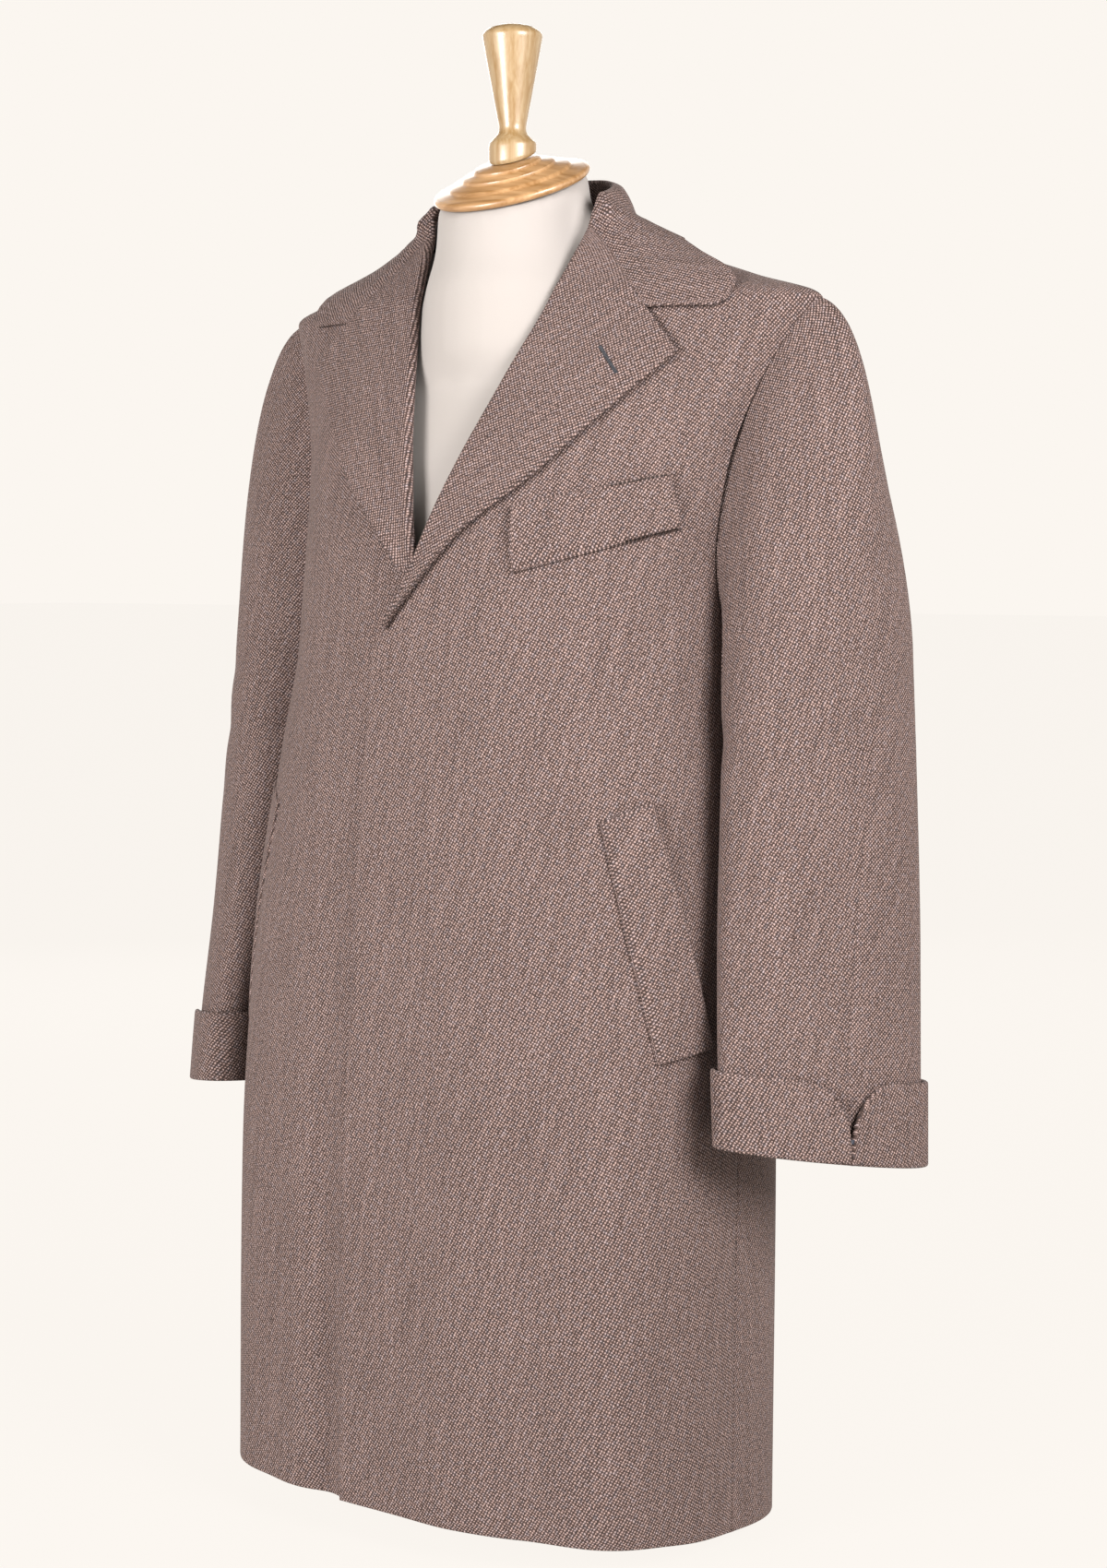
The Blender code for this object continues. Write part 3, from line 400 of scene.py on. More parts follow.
def makeWool(name):
    material, tree, shader = newMaterial(name)
    uv = addNode(tree, "ShaderNodeUVMap", {"uv_map": "pattern"}).outputs["UV"]

    def turned(angle, long, wide):  # runs along the angle, in steps of long by wide millimetres
        node = addNode(tree, "ShaderNodeMapping", {"vector_type": "TEXTURE"}, Vector=uv)
        node.inputs["Rotation"].default_value = (0.0, 0.0, math.radians(angle))
        node.inputs["Scale"].default_value = (long / 1000, wide / 1000, 1.0)
        return node.outputs[0]

    lattice = turned(wool["steep"], wool["along"], wool["across"])
    rows = []
    for direction in ("X", "Y"):  # a wave texture of scale pi / 10 repeats once a unit
        wave = addNode(
            tree, "ShaderNodeTexWave", {"bands_direction": direction}, Vector=lattice,
            Scale=math.pi / 10, Distortion=wool["wander"], Detail=1.0, Detail_Scale=1.8,
        )
        rows.append(wave.outputs["Fac"])
    specks, line = wool["broken"]
    broken = addNode(tree, "ShaderNodeMath", {"operation": "MULTIPLY_ADD"}, i0=rows[0], i1=specks, i2=line)
    tone = addNode(tree, "ShaderNodeMath", {"operation": "MULTIPLY"}, i0=rows[1], i1=broken.outputs[0])
    # on the lattice a scale of 1 is one speck
    yarn = addNode(tree, "ShaderNodeTexNoise", Vector=lattice, Scale=0.9, Detail=2.0, Roughness=0.7)
    uneven = [(yarn.outputs[0], wool["yarn"])]
    for lean, wide, long, share in wool["streaks"]:
        streak = turned(lean, long, wide)
        noise = addNode(tree, "ShaderNodeTexNoise", Vector=streak, Scale=1.0, Detail=2.0)
        uneven.append((noise.outputs[0], share))
    for value, share in uneven:
        centred = {"i0": value, "i1": share, "i2": -share / 2}
        shift = addNode(tree, "ShaderNodeMath", {"operation": "MULTIPLY_ADD"}, **centred)
        tone = addNode(tree, "ShaderNodeMath", {"operation": "ADD"}, i0=tone.outputs[0], i1=shift.outputs[0])
    ramp = addNode(tree, "ShaderNodeValToRGB", i0=tone.outputs[0])
    darkStop, middleStop, lightStop = wool["stops"]
    ramp.color_ramp.elements[0].position = darkStop
    ramp.color_ramp.elements[0].color = linear(wool["dark"])
    ramp.color_ramp.elements[1].position = lightStop
    ramp.color_ramp.elements[1].color = linear(wool["light"])
    ramp.color_ramp.elements.new(middleStop).color = linear(wool["middle"])
    dye = addNode(tree, "ShaderNodeTexNoise", Vector=lattice, Scale=0.6, Detail=1.0)
    share = addNode(tree, "ShaderNodeMapRange", Value=dye.outputs[0], To_Min=0.0, To_Max=wool["coolMost"])
    setSockets(tree, share, From_Min=wool["coolTones"][0], From_Max=wool["coolTones"][1])
    cool = addNode(
        tree, "ShaderNodeMix", {"data_type": "RGBA", "blend_type": "COLOR"},
        i0=share.outputs[0], i6=ramp.outputs[0], i7=linear(wool["cool"]),
    )
    bump = addNode(tree, "ShaderNodeBump", Strength=0.4, Distance=wool["relief"], Height=tone.outputs[0])
    setSockets(
        tree, shader, Base_Color=cool.outputs[2], Roughness=0.9, Normal=bump.outputs[0],
        Specular_IOR_Level=0.2, Sheen_Weight=0.05, Sheen_Roughness=0.5, Sheen_Tint=linear(wool["fuzz"]),
    )
    return material


# grey satin lining: smooth, with a faint sheen
satin = {"dark": "#4a474b", "light": "#6c686c", "ripple": 16.67}  # ripples in mm


def makeLining():
    material, tree, shader = newMaterial("liningSatin")
    uv = addNode(tree, "ShaderNodeUVMap", {"uv_map": "pattern"}).outputs["UV"]
    ripple = addNode(tree, "ShaderNodeTexNoise", Vector=uv, Scale=1000 / satin["ripple"], Detail=3.0)
    ramp = addNode(tree, "ShaderNodeValToRGB", i0=ripple.outputs[0])
    ramp.color_ramp.elements[0].color = linear(satin["dark"])
    ramp.color_ramp.elements[1].color = linear(satin["light"])
    bump = addNode(tree, "ShaderNodeBump", Strength=0.2, Distance=0.0008, Height=ripple.outputs[0])
    setSockets(tree, shader, Base_Color=ramp.outputs[0], Roughness=0.42)
    setSockets(tree, shader, Normal=bump.outputs[0], Sheen_Weight=0.2)
    return material


woolCloth = makeWool("woolBirdseye")
lining = makeLining()
print("wool and lining ready")


# two fronts; the left one laps over
fronts = {
    "buttonStand": 0.042,
    "breakZ": 0.640,
    "rollLine": (
        # height, distance across
        (0.640, -0.042), (0.705, 0.001), (0.779, 0.025), (0.844, 0.046),
        (0.900, 0.064), (0.951, 0.074), (0.970, 0.076),
    ),
    "overlapGirth": 0.125,
    "overlapGirthFade": 0.070,
    "overlapZ": 0.830,
    "overlapZFade": 0.100,
    "rowSteps": (96, 72),  # hem to underarm, underarm to shoulder
    "columnSteps": 72,
    "flat": (0.33, 0.99),
    "area": 0.271,
    "held": "hung",
    "restsOn": ["form_torso"],
    "leftCreases": (
        (0.205, 0.700, 0.120, 0.560, 0.022, -0.0022, -0.0004),
        (0.180, 0.845, 0.165, 0.700, 0.020, -0.0020, -0.0010),
        (0.060, 0.480, 0.050, -0.05, 0.026, 0.0002, 0.0022),
        (0.112, 0.430, 0.120, -0.05, 0.024, -0.0003, -0.0028),
        (0.168, 0.330, 0.172, -0.05, 0.024, 0.0004, 0.0034),
        (0.225, 0.350, 0.222, -0.05, 0.022, -0.0004, -0.0030),
        (0.150, 0.352, 0.105, 0.240, 0.016, -0.0016, -0.0002),
        (0.020, 0.600, 0.070, 0.520, 0.018, -0.0012, -0.0002),
    ),
    "rightCreases": (
        (0.200, 0.690, 0.130, 0.570, 0.024, -0.0020, -0.0004),
        (0.178, 0.840, 0.160, 0.710, 0.020, -0.0018, -0.0008),
        (0.062, 0.520, 0.060, -0.05, 0.015, -0.0012, -0.0066),
        (0.096, 0.420, 0.094, -0.05, 0.018, 0.0003, 0.0024),
        (0.140, 0.380, 0.150, -0.05, 0.024, 0.0003, 0.0030),
        (0.205, 0.340, 0.200, -0.05, 0.024, -0.0004, -0.0032),
        (0.150, 0.340, 0.112, 0.250, 0.016, -0.0012, -0.0002),
    ),
}


def armhole(face, turn, shrink=0.0):  # turn in degrees from the top
    turn = np.radians(turn)
    middle = (coatBody["underarm"] + coatBody["shoulderTip"]) / 2
    half = (coatBody["shoulderTip"] - coatBody["underarm"]) / 2 - shrink
    z = middle + half * np.cos(turn)
    scoop = coatBody[face + "Scoop"] - shrink
    return np.stack([halfGirth(face, z) - scoop * np.abs(np.sin(turn)), z], axis=-1)


def sideEdge(face):
    low, high = fronts["rowSteps"]
    z = np.linspace(coatBody["hem"], coatBody["underarm"], low + 1)
    seam = np.stack([halfGirth(face, z), z], axis=-1)
    share = np.linspace(0, 1, high + 1)
    turns = (180 * (1 - share) + np.degrees(np.arccos(2 * share - 1))) / 2  # even both in turn and in height
    return np.concatenate([seam, armhole(face, turns)[1:]])


def shoulderSeam(face, steps):
    z = np.linspace(coatBody["shoulderTip"], coatBody["neck"], steps + 1)
    return np.stack([halfGirth(face, z), z], axis=-1)


def acrossCurve(rows, z):
    return np.stack([girthAt("front", smoothCurve(rows, 1, z), z), z], axis=-1)


def frontPattern():
    low, high = fronts["rowSteps"]
    side = sideEdge("front")
    z = np.linspace(coatBody["hem"], fronts["breakZ"], low + 1)
    edge = np.stack([np.full(low + 1, -fronts["buttonStand"]), z], axis=-1)
    roll = acrossCurve(fronts["rollLine"], np.linspace(fronts["breakZ"], coatBody["neck"], high + 1))
    front = np.concatenate([edge, roll[1:]])
    shoulder = shoulderSeam("front", fronts["columnSteps"])[::-1]
    front[-1] = shoulder[0]
    return coons(front, side, np.linspace(front[0], side[0], fronts["columnSteps"] + 1), shoulder)


def overlapLift(pattern):  # the left front rides on the right one near the closing
    near = smoothStep((fronts["overlapGirth"] - pattern[..., 0]) / fronts["overlapGirthFade"])
    low = smoothStep((fronts["overlapZ"] - pattern[..., 1]) / fronts["overlapZFade"])
    return (coatBody["cloth"] + coatBody["laidGap"]) * near * low


def drawIn(grid, amount, lastRow=True, lastColumn=True):  # parts a panel from its neighbours
    grid = grid.copy()
    if lastRow:
        grid[-1] += unit(grid[-2] - grid[-1]) * amount
    if lastColumn:
        grid[:, -1] += unit(grid[:, -2] - grid[:, -1]) * amount
    return grid


def frontLift(side, pattern):  # everything that stands on a front follows its overlap and creases
    if side == "left":
        return overlapLift(pattern) + creaseLift(pattern, fronts["leftCreases"])
    return creaseLift(pattern, fronts["rightCreases"])


def makeFronts():
    pattern = frontPattern()
    grain = grainMap("front", pattern)
    for side in ("left", "right"):
        out = frontLift(side, pattern) + coatBody["cloth"] / 2
        middle = drawIn(panelPoints("front", pattern, out), coatBody["seamGap"])
        weave, sewn = grain, (np.s_[:, -1], np.s_[-1])
        if side == "right":
            middle, weave, sewn = mirrored(middle), flipped(grain), (np.s_[:, 0], np.s_[-1])
        middle = droop(middle)
        piece = clothWall(side + "FrontCloth", middle, weave, coatBody["cloth"], (woolCloth, lining), sewn)
        finishCloth(piece, side + "_front")


back = {
    "neckSteps": 32,
    "shoulderSteps": 48,
    "rowsBend": 1.5,  # the rows are level up to the underarm, then take up the shoulders' slope
    "flat": (0.58, 0.99),
    "area": 0.505,
    "held": "hung",
    "restsOn": ["form_torso"],
    "creases": (
        (0.000, 0.560, 0.004, -0.05, 0.030, -0.0004, -0.0030),
        (0.085, 0.480, 0.092, -0.05, 0.028, 0.0003, 0.0032),
        (-0.090, 0.500, -0.083, -0.05, 0.028, 0.0003, 0.0028),
        (0.165, 0.420, 0.172, -0.05, 0.026, -0.0004, -0.0032),
        (-0.168, 0.440, -0.160, -0.05, 0.026, -0.0004, -0.0036),
        (0.175, 0.780, 0.060, 0.620, 0.024, -0.0024, -0.0004),
        (-0.172, 0.770, -0.075, 0.600, 0.024, -0.0022, -0.0004),
        (0.090, 0.905, -0.060, 0.895, 0.012, -0.0014, -0.0006),
        (0.160, 0.640, 0.040, 0.560, 0.020, -0.0016, -0.0003),
        (-0.165, 0.650, -0.030, 0.585, 0.020, -0.0018, -0.0003),
    ),
}


def makeBack():
    side = sideEdge("back")
    flip = np.array([-1.0, 1.0])
    shoulder = shoulderSeam("back", back["shoulderSteps"])
    neck = np.linspace(shoulder[-1], shoulder[-1] * flip, back["neckSteps"] + 1)
    top = np.concatenate([shoulder[:-1], neck, (shoulder * flip)[-2::-1]])
    low, high = fronts["rowSteps"]
    rise = np.clip((np.arange(low + high + 1) - low) / high, 0, 1) ** back["rowsBend"]
    pattern = coons(side, side * flip, np.linspace(side[0], side[0] * flip, len(top)), top, rise)
    out = creaseLift(pattern, back["creases"]) + coatBody["cloth"] / 2
    middle = droop(drawIn(panelPoints("back", pattern, out), coatBody["seamGap"], lastColumn=False))
    sewn = (np.s_[:, 0], np.s_[:, -1], np.s_[-1])
    weave = grainMap("back", pattern)
    piece = clothWall("backCloth", middle, weave, coatBody["cloth"], (woolCloth, lining), sewn)
    finishCloth(piece, "back")


makeFronts()
makeBack()
print("fronts and back hung")


lapels = {
    "edge": (  # height, distance across
        (0.640, -0.042), (0.674, -0.012), (0.7285, 0.039), (0.762, 0.077), (0.806, 0.116), (0.857, 0.163),
    ),
    "notch": (0.890, 0.135),
    "gorgeZ": 0.951,
    "leftFootZ": 0.660,
    "rightFootZ": 0.701,
    "footWide": 0.003,
    "passBy": 0.006,
    "thick": 0.0034,
    "edgeLift": 0.0022,  # the outer edge stands off the chest
    "liftFrom": 0.35,  # shares of the way across
    "notchFrom": 0.60,  # past the notch the top edge is free too
    "fade": 0.25,
    "gorgeLap": 0.0005,  # the seam to the collar is pressed shut
    "rollSteps": 8,
    "rows": 97,
    "columns": 49,
    "grainTurn": 38,  # the facing is cut along its outer edge
    "flat": (0.135, 0.34),
    "area": 0.0205,
    "held": "folded",
}


def notchPattern():
    z, across = lapels["notch"]
    return np.array([girthAt("front", across, z)[0], z])


def makeLapels():
    for side in ("left", "right"):
        foot = lapels[side + "FootZ"]
        roll = acrossCurve(fronts["rollLine"], np.linspace(foot, lapels["gorgeZ"], lapels["rows"]))
        if side == "right":
            roll[:, 0] = np.maximum(roll[:, 0], lapels["passBy"] - roll[:, 0])
        edge = acrossCurve(lapels["edge"], np.linspace(foot, lapels["edge"][-1][0], lapels["rows"]))
        edge[0, 0] = max(edge[0, 0], roll[0, 0] + lapels["footWide"])
        top = polyline([roll[-1], notchPattern(), edge[-1]], lapels["columns"])
        leaf = coons(roll, edge, np.linspace(roll[0], edge[0], lapels["columns"]), top)
        low = coatBody["cloth"] / 2
        high = coatBody["cloth"] + coatBody["laidGap"] + coatBody["folded"] - lapels["thick"] / 2
        turns = np.linspace(-math.pi / 2, math.pi / 2, lapels["rollSteps"] + 1)[:-1]
        reach = (high - low) / 2
        rolled = roll[:, None] - np.stack([reach * np.cos(turns), 0 * turns], axis=-1)[None]
        rolledOut = np.broadcast_to((low + high) / 2 + reach * np.sin(turns), rolled.shape[:2])
        pattern = np.concatenate([rolled, leaf], axis=1)
        across = np.linspace(0, 1, lapels["columns"])
        below = smoothStep((1 - np.linspace(0, 1, lapels["rows"])) / lapels["fade"])[:, None]
        free = smoothStep((across - lapels["notchFrom"]) / lapels["fade"])
        outer = smoothStep((across - lapels["liftFrom"]) / (1 - lapels["liftFrom"]))
        standOff = high + lapels["edgeLift"] * outer * (below + (1 - below) * free)
        out = np.concatenate([rolledOut, standOff], axis=1)
        middle = panelPoints("front", pattern, out + frontLift(side, pattern))
        middle[-1] -= unit(middle[-2] - middle[-1]) * lapels["gorgeLap"]
        if side == "left":
            sheet = middle, pattern
        unrolled = roll[:, None] - np.stack([reach * (math.pi / 2 - turns), 0 * turns], axis=-1)[None]
        weave = grainMap("front", pattern)
        weave[:, : len(turns)] += unrolled - rolled
        turn = math.radians(lapels["grainTurn"])
        weave = weave @ np.array([[math.cos(turn), math.sin(turn)], [-math.sin(turn), math.cos(turn)]])
        gorge = lapels["rollSteps"] + 1 + int(np.argmin(np.linalg.norm(top - notchPattern(), axis=1)))
        sewn = (np.s_[-1, :gorge],)
        if side == "right":
            middle, weave, sewn = mirrored(middle), flipped(weave), (np.s_[-1, -gorge:],)
        piece = clothWall(side + "LapelCloth", middle, weave, lapels["thick"], (woolCloth,), sewn)
        finishCloth(piece, side + "_lapel")
    return sheet


hipWelt = {
    "mouth": "outer",
    "corners": ((0.354, 0.187), (0.363, 0.2025), (0.539, 0.1715), (0.525, 0.146)),  # height, distance across
    "steps": (91, 23),
    "flat": (0.044, 0.184),
    "area": 0.0077,
}
breastWelt = {
    "mouth": "top",
    "corners": ((0.700, 0.077), (0.732, 0.170), (0.773, 0.1645), (0.747, 0.072)),
    "steps": (25, 61),
    "flat": (0.118, 0.043),
    "area": 0.0047,
}
welts = {
    "thick": 0.0042,
    "pressed": 0.10,  # share of the welt that its sewn edge pulls down
    "pieces": (  # lift of the mouth, depth of the sewn edge, and how far the whole welt is pressed in
        dict(breastWelt, node="breast_welt", side="left", mouthLift=0.0012, sink=0.0020, settle=0.0),
        dict(hipWelt, node="left_pocket_welt", side="left", mouthLift=0.0022, sink=0.0034, settle=0.0),
        dict(hipWelt, node="right_pocket_welt", side="right", mouthLift=0.0, sink=0.0010, settle=0.0032),
    ),
}


def makeWelts():
    for welt in welts["pieces"]:
        rows, columns = welt["steps"]
        z, across = np.array(welt["corners"]).T
        lowIn, lowOut, highOut, highIn = np.stack([girthAt("front", across, z), z], axis=-1)
        pattern = coons(
            np.linspace(lowIn, highIn, rows), np.linspace(lowOut, highOut, rows),
            np.linspace(lowIn, lowOut, columns), np.linspace(highIn, highOut, columns),
        )
        v, u = np.meshgrid(np.linspace(0, 1, rows), np.linspace(0, 1, columns), indexing="ij")
        toMouth = v if welt["mouth"] == "top" else u
        lift = welt["mouthLift"] * smoothStep(toMouth) - welt["settle"]
        lift -= welt["sink"] * (1 - smoothStep(toMouth / welts["pressed"]))
        onFront = frontLift(welt["side"], pattern) + coatBody["cloth"] + coatBody["laidGap"]
        middle = panelPoints("front", pattern, onFront + welts["thick"] / 2 + lift)
        weave = grainMap("front", pattern)
        if welt["side"] == "right":
            middle, weave = mirrored(middle), flipped(weave)
        camel = "".join(word.title() if i else word for i, word in enumerate(welt["node"].split("_")))
        piece = clothWall(camel + "Cloth", middle, weave, welts["thick"], (woolCloth,))
        finishCloth(piece, welt["node"])


lapelSheet, lapelPattern = makeLapels()
makeWelts()
print("lapels and welts laid")


sleeves = {
    "columns": ("z", "x", "y", "halfThick", "halfWide", "turn", "hindSeam", "foreSeam"),
    "sections": (
        (0.286, 0.2770, -0.003, 0.029, 0.079, 57.0, 85.0, 215.0),
        (0.345, 0.2729, 0.0016, 0.030, 0.0798, 57.0, 85.0, 213.0),
        (0.430, 0.2642, 0.0147, 0.035, 0.0802, 58.0, 83.0, 210.0),
        (0.570, 0.2512, 0.0347, 0.0455, 0.0766, 60.0, 76.0, 204.0),
        (0.640, 0.2429, 0.0457, 0.052, 0.0749, 62.0, 65.0, 198.0),
    ),
    "wristSlant": 0.012,
    "slantTop": 0.460,
    "armholeHind": -40.0,
    "armholeFore": 120.0,
    "armholeGap": 0.0008,
    "headLift": 0.0030,  # brings the sleeve head level with the shoulder
    "headNarrow": 6,
    "tucks": (0.0075, 0.0050, 0.0030, 0.0015, 0.0),  # the seam turned in under the armhole's edge
    "capLeaves": (1.0, 0.0, -0.36),
    "underarmLeaves": (0.30, 0.0, -1.0),
    "frontLeaves": 0.4,  # the sleeve rolls forward over the seam in front
    "backLeaves": 0.6,  # and is full behind
    "hindFull": 0.010,  # the hind side swells below the shoulder
    "hindAt": 35.0,  # fullest here, in degrees round the sleeve
    "hindSpread": 50.0,
    "capReach": (0.040, 0.130),
    "capHang": (0.035, 0.190),
    "seamLap": 0.0003,  # the long seams are pressed shut
    "topSteps": 60,
    "underSteps": 55,
    "capSteps": 49,
    "hangSteps": 81,
    "leadSteps": 9,  # the cap runs into the first rows of the hanging sleeve
    "topFlat": (0.185, 0.640),
    "topArea": 0.081,
    "underFlat": (0.250, 0.620),
    "underArea": 0.109,
    "topCreases": (  # across from the middle of the piece, up from the wrist
        (-0.055, 0.300, 0.030, 0.260, 0.014, -0.0024, -0.0006),
        (-0.060, 0.345, 0.010, 0.320, 0.012, -0.0018, -0.0004),
        (0.060, 0.290, -0.020, 0.235, 0.014, -0.0022, -0.0004),
        (0.055, 0.350, 0.000, 0.410, 0.014, -0.0020, -0.0004),
        (-0.030, 0.560, -0.012, 0.400, 0.020, -0.0022, -0.0006),
        (0.050, 0.520, 0.040, 0.380, 0.018, -0.0024, -0.0008),
        (0.010, 0.220, 0.016, 0.060, 0.018, -0.0014, -0.0004),
    ),
    "underCreases": (
        (-0.070, 0.330, 0.040, 0.290, 0.014, -0.0028, -0.0008),
        (0.080, 0.300, -0.010, 0.255, 0.014, -0.0024, -0.0006),
        (-0.050, 0.400, 0.030, 0.440, 0.016, -0.0024, -0.0006),
        (0.000, 0.220, 0.010, 0.080, 0.020, -0.0016, -0.0006),
    ),
}


def sleeveSection(z, turns):
    row = {name: smoothCurve(sleeves["sections"], i, z) for i, name in enumerate(sleeves["columns"])}
    lie = math.radians(row["turn"])
    wide = np.array([math.cos(lie), math.sin(lie), 0.0]) * row["halfWide"]
    thick = np.array([math.sin(lie), -math.cos(lie), 0.0]) * row["halfThick"]
    turns = np.radians(turns)[:, None]
    fall = (sleeves["slantTop"] - z) / (sleeves["slantTop"] - sleeves["sections"][0][0])
    lower = np.array([0.0, 0.0, -sleeves["wristSlant"] * smoothStep(fall)])
    centre = np.array([row["x"], row["y"], z])
    return centre + np.cos(turns) * (wide + lower) + np.sin(turns) * thick


def sleeveTurns(hind, fore):
    top = np.linspace(hind, fore, sleeves["topSteps"] + 1)
    under = np.linspace(fore, hind + 360, sleeves["underSteps"] + 1)
    return np.concatenate([top[:-1], under[:-1]])


def seamTurns(z):
    columns = [sleeves["columns"].index(name) for name in ("hindSeam", "foreSeam")]
    return sleeveTurns(*(smoothCurve(sleeves["sections"], column, z) for column in columns))


def sleeveGrid():  # outside of the left sleeve, armhole to wrist, forwards from the hind seam
    around = sleeveTurns(sleeves["armholeHind"], sleeves["armholeFore"])
    facing = np.sin(np.radians(around))
    high = (1 + np.cos(np.radians(around)))[:, None] / 2
    inFront = facing >= 0
    rings = []
    for deep in sleeves["tucks"]:
        ring = np.empty((len(around), 3))
        for face, chosen in (("front", inFront), ("back", ~inFront)):
            pattern = armhole(face, around[chosen], sleeves["armholeGap"])
            ring[chosen] = panelPoints(face, pattern, coatBody["cloth"] - deep)
        ring[:, 2] += sleeves["headLift"] * high[:, 0] ** sleeves["headNarrow"]
        rings.append(ring)
    leave = high * np.array(sleeves["capLeaves"]) + (1 - high) * np.array(sleeves["underarmLeaves"])
    leave[:, 1] -= np.where(facing > 0, sleeves["frontLeaves"], -sleeves["backLeaves"]) * facing**2
    leave = unit(leave) * (sleeves["capReach"][0] + sleeves["capReach"][1] * high)
    armTop, wrist = sleeves["sections"][-1][0], sleeves["sections"][0][0]
    heights = np.linspace(armTop, wrist, sleeves["hangSteps"] + 1)
    hang = np.array([sleeveSection(z, seamTurns(z)) for z in heights])
    arrive = unit(hang[sleeves["leadSteps"]] - hang[0])
    arrive *= sleeves["capHang"][0] + sleeves["capHang"][1] * high
    fromFullest = (seamTurns(armTop) - sleeves["hindAt"] + 180) % 360 - 180
    swell = sleeves["hindFull"] * np.exp(-((fromFullest / sleeves["hindSpread"]) ** 2))[:, None]
    swell = swell * unit(hang[0] - hang[0].mean(axis=0))
    cap = []
    for t in np.linspace(0, 1, sleeves["capSteps"] + 1)[:-1]:
        halfway = 16 * (t - t**2) ** 2  # 1 in the middle, 0 at both ends
        cap.append(hermite(t, rings[-1], leave, hang[0], arrive) + halfway * swell)
    return np.concatenate([np.array(rings[:-1]), np.array(cap), hang])


def flatPattern(grid):  # unrolls a sheet to its flat pattern, in metres, with its middle column upright
    rows, columns = grid.shape[:2]
    mesh = bpy.data.meshes.new("pattern")
    mesh.from_pydata(grid.reshape(-1, 3).tolist(), [], gridFaces(rows, columns)[1].tolist())
    mesh.uv_layers.new(name="pattern")
    sheet = addObject("pattern", mesh)
    selectOnly(sheet)
    bpy.ops.object.mode_set(mode="EDIT")
    bpy.ops.mesh.select_all(action="SELECT")
    bpy.ops.uv.unwrap(method="MINIMUM_STRETCH", margin=0.0, iterations=20)
    bpy.ops.object.mode_set(mode="OBJECT")
    corners = np.empty(len(mesh.loops), int)
    mesh.loops.foreach_get("vertex_index", corners)
    loose = np.empty(len(mesh.loops) * 2)
    mesh.uv_layers["pattern"].data.foreach_get("uv", loose)
    flat = np.empty((rows * columns, 2))
    flat[corners] = loose.reshape(-1, 2)
    bpy.data.objects.remove(sheet)
    bpy.data.meshes.remove(mesh)
    flat = flat.reshape(rows, columns, 2)
    true = np.linalg.norm(np.diff(grid, axis=0), axis=2).sum()
    flat *= true / np.linalg.norm(np.diff(flat, axis=0), axis=2).sum()
    middle = columns // 2
    up = unit(flat[0, middle] - flat[-1, middle])
    flat = (flat - flat[-1, middle]) @ np.array([[up[1], up[0]], [-up[0], up[1]]])
    right = flat[rows // 2, -1, 0] > flat[rows // 2, 0, 0]
    return flat if right else flat * np.array([-1.0, 1.0])


def makeSleeves():
    outside = sleeveGrid()
    normal = gridNormals(outside, closed=True)
    steps = sleeves["topSteps"]
    under = np.concatenate([np.arange(steps, outside.shape[1]), [0]])
    for kind, chosen in (("top", np.arange(steps + 1)), ("under", under)):
        skin = outside[:, chosen]
        pattern = flatPattern(skin)
        for side in ("left", "right"):
            creases = creaseLift(pattern, sleeves[kind + "Creases"])
            middle = skin + normal[:, chosen] * (creases - coatBody["cloth"] / 2)[..., None]
            middle = drawIn(middle, -sleeves["seamLap"], lastRow=False)[:, ::-1]
            middle = drawIn(middle, -sleeves["seamLap"], lastRow=False)[:, ::-1]
            middle, weave = middle[::-1], pattern[::-1]
            if np.sum(gridNormals(middle) * normal[:, chosen][::-1]) < 0:
                middle, weave = middle[:, ::-1], flipped(weave)
            if side == "right":
                middle, weave = mirrored(middle), flipped(weave)
            name = f"{side}{kind.title()}SleeveCloth"
            sewn = (np.s_[:, 0], np.s_[:, -1], np.s_[-1])
            piece = clothWall(name, middle, weave, coatBody["cloth"], (woolCloth, lining), sewn)
            finishCloth(piece, f"{side}_{kind}_sleeve")


cuffs = {
    "height": 0.058,
    "gap": 0.0010,
    "cornerWide": 0.036,
    "cornerTall": 0.046,
    "cornerLift": 0.0024,
    "rows": 25,
    "columns": 169,
    "flat": (0.385, 0.058),
    "area": 0.0215,
    "held": "folded",
}


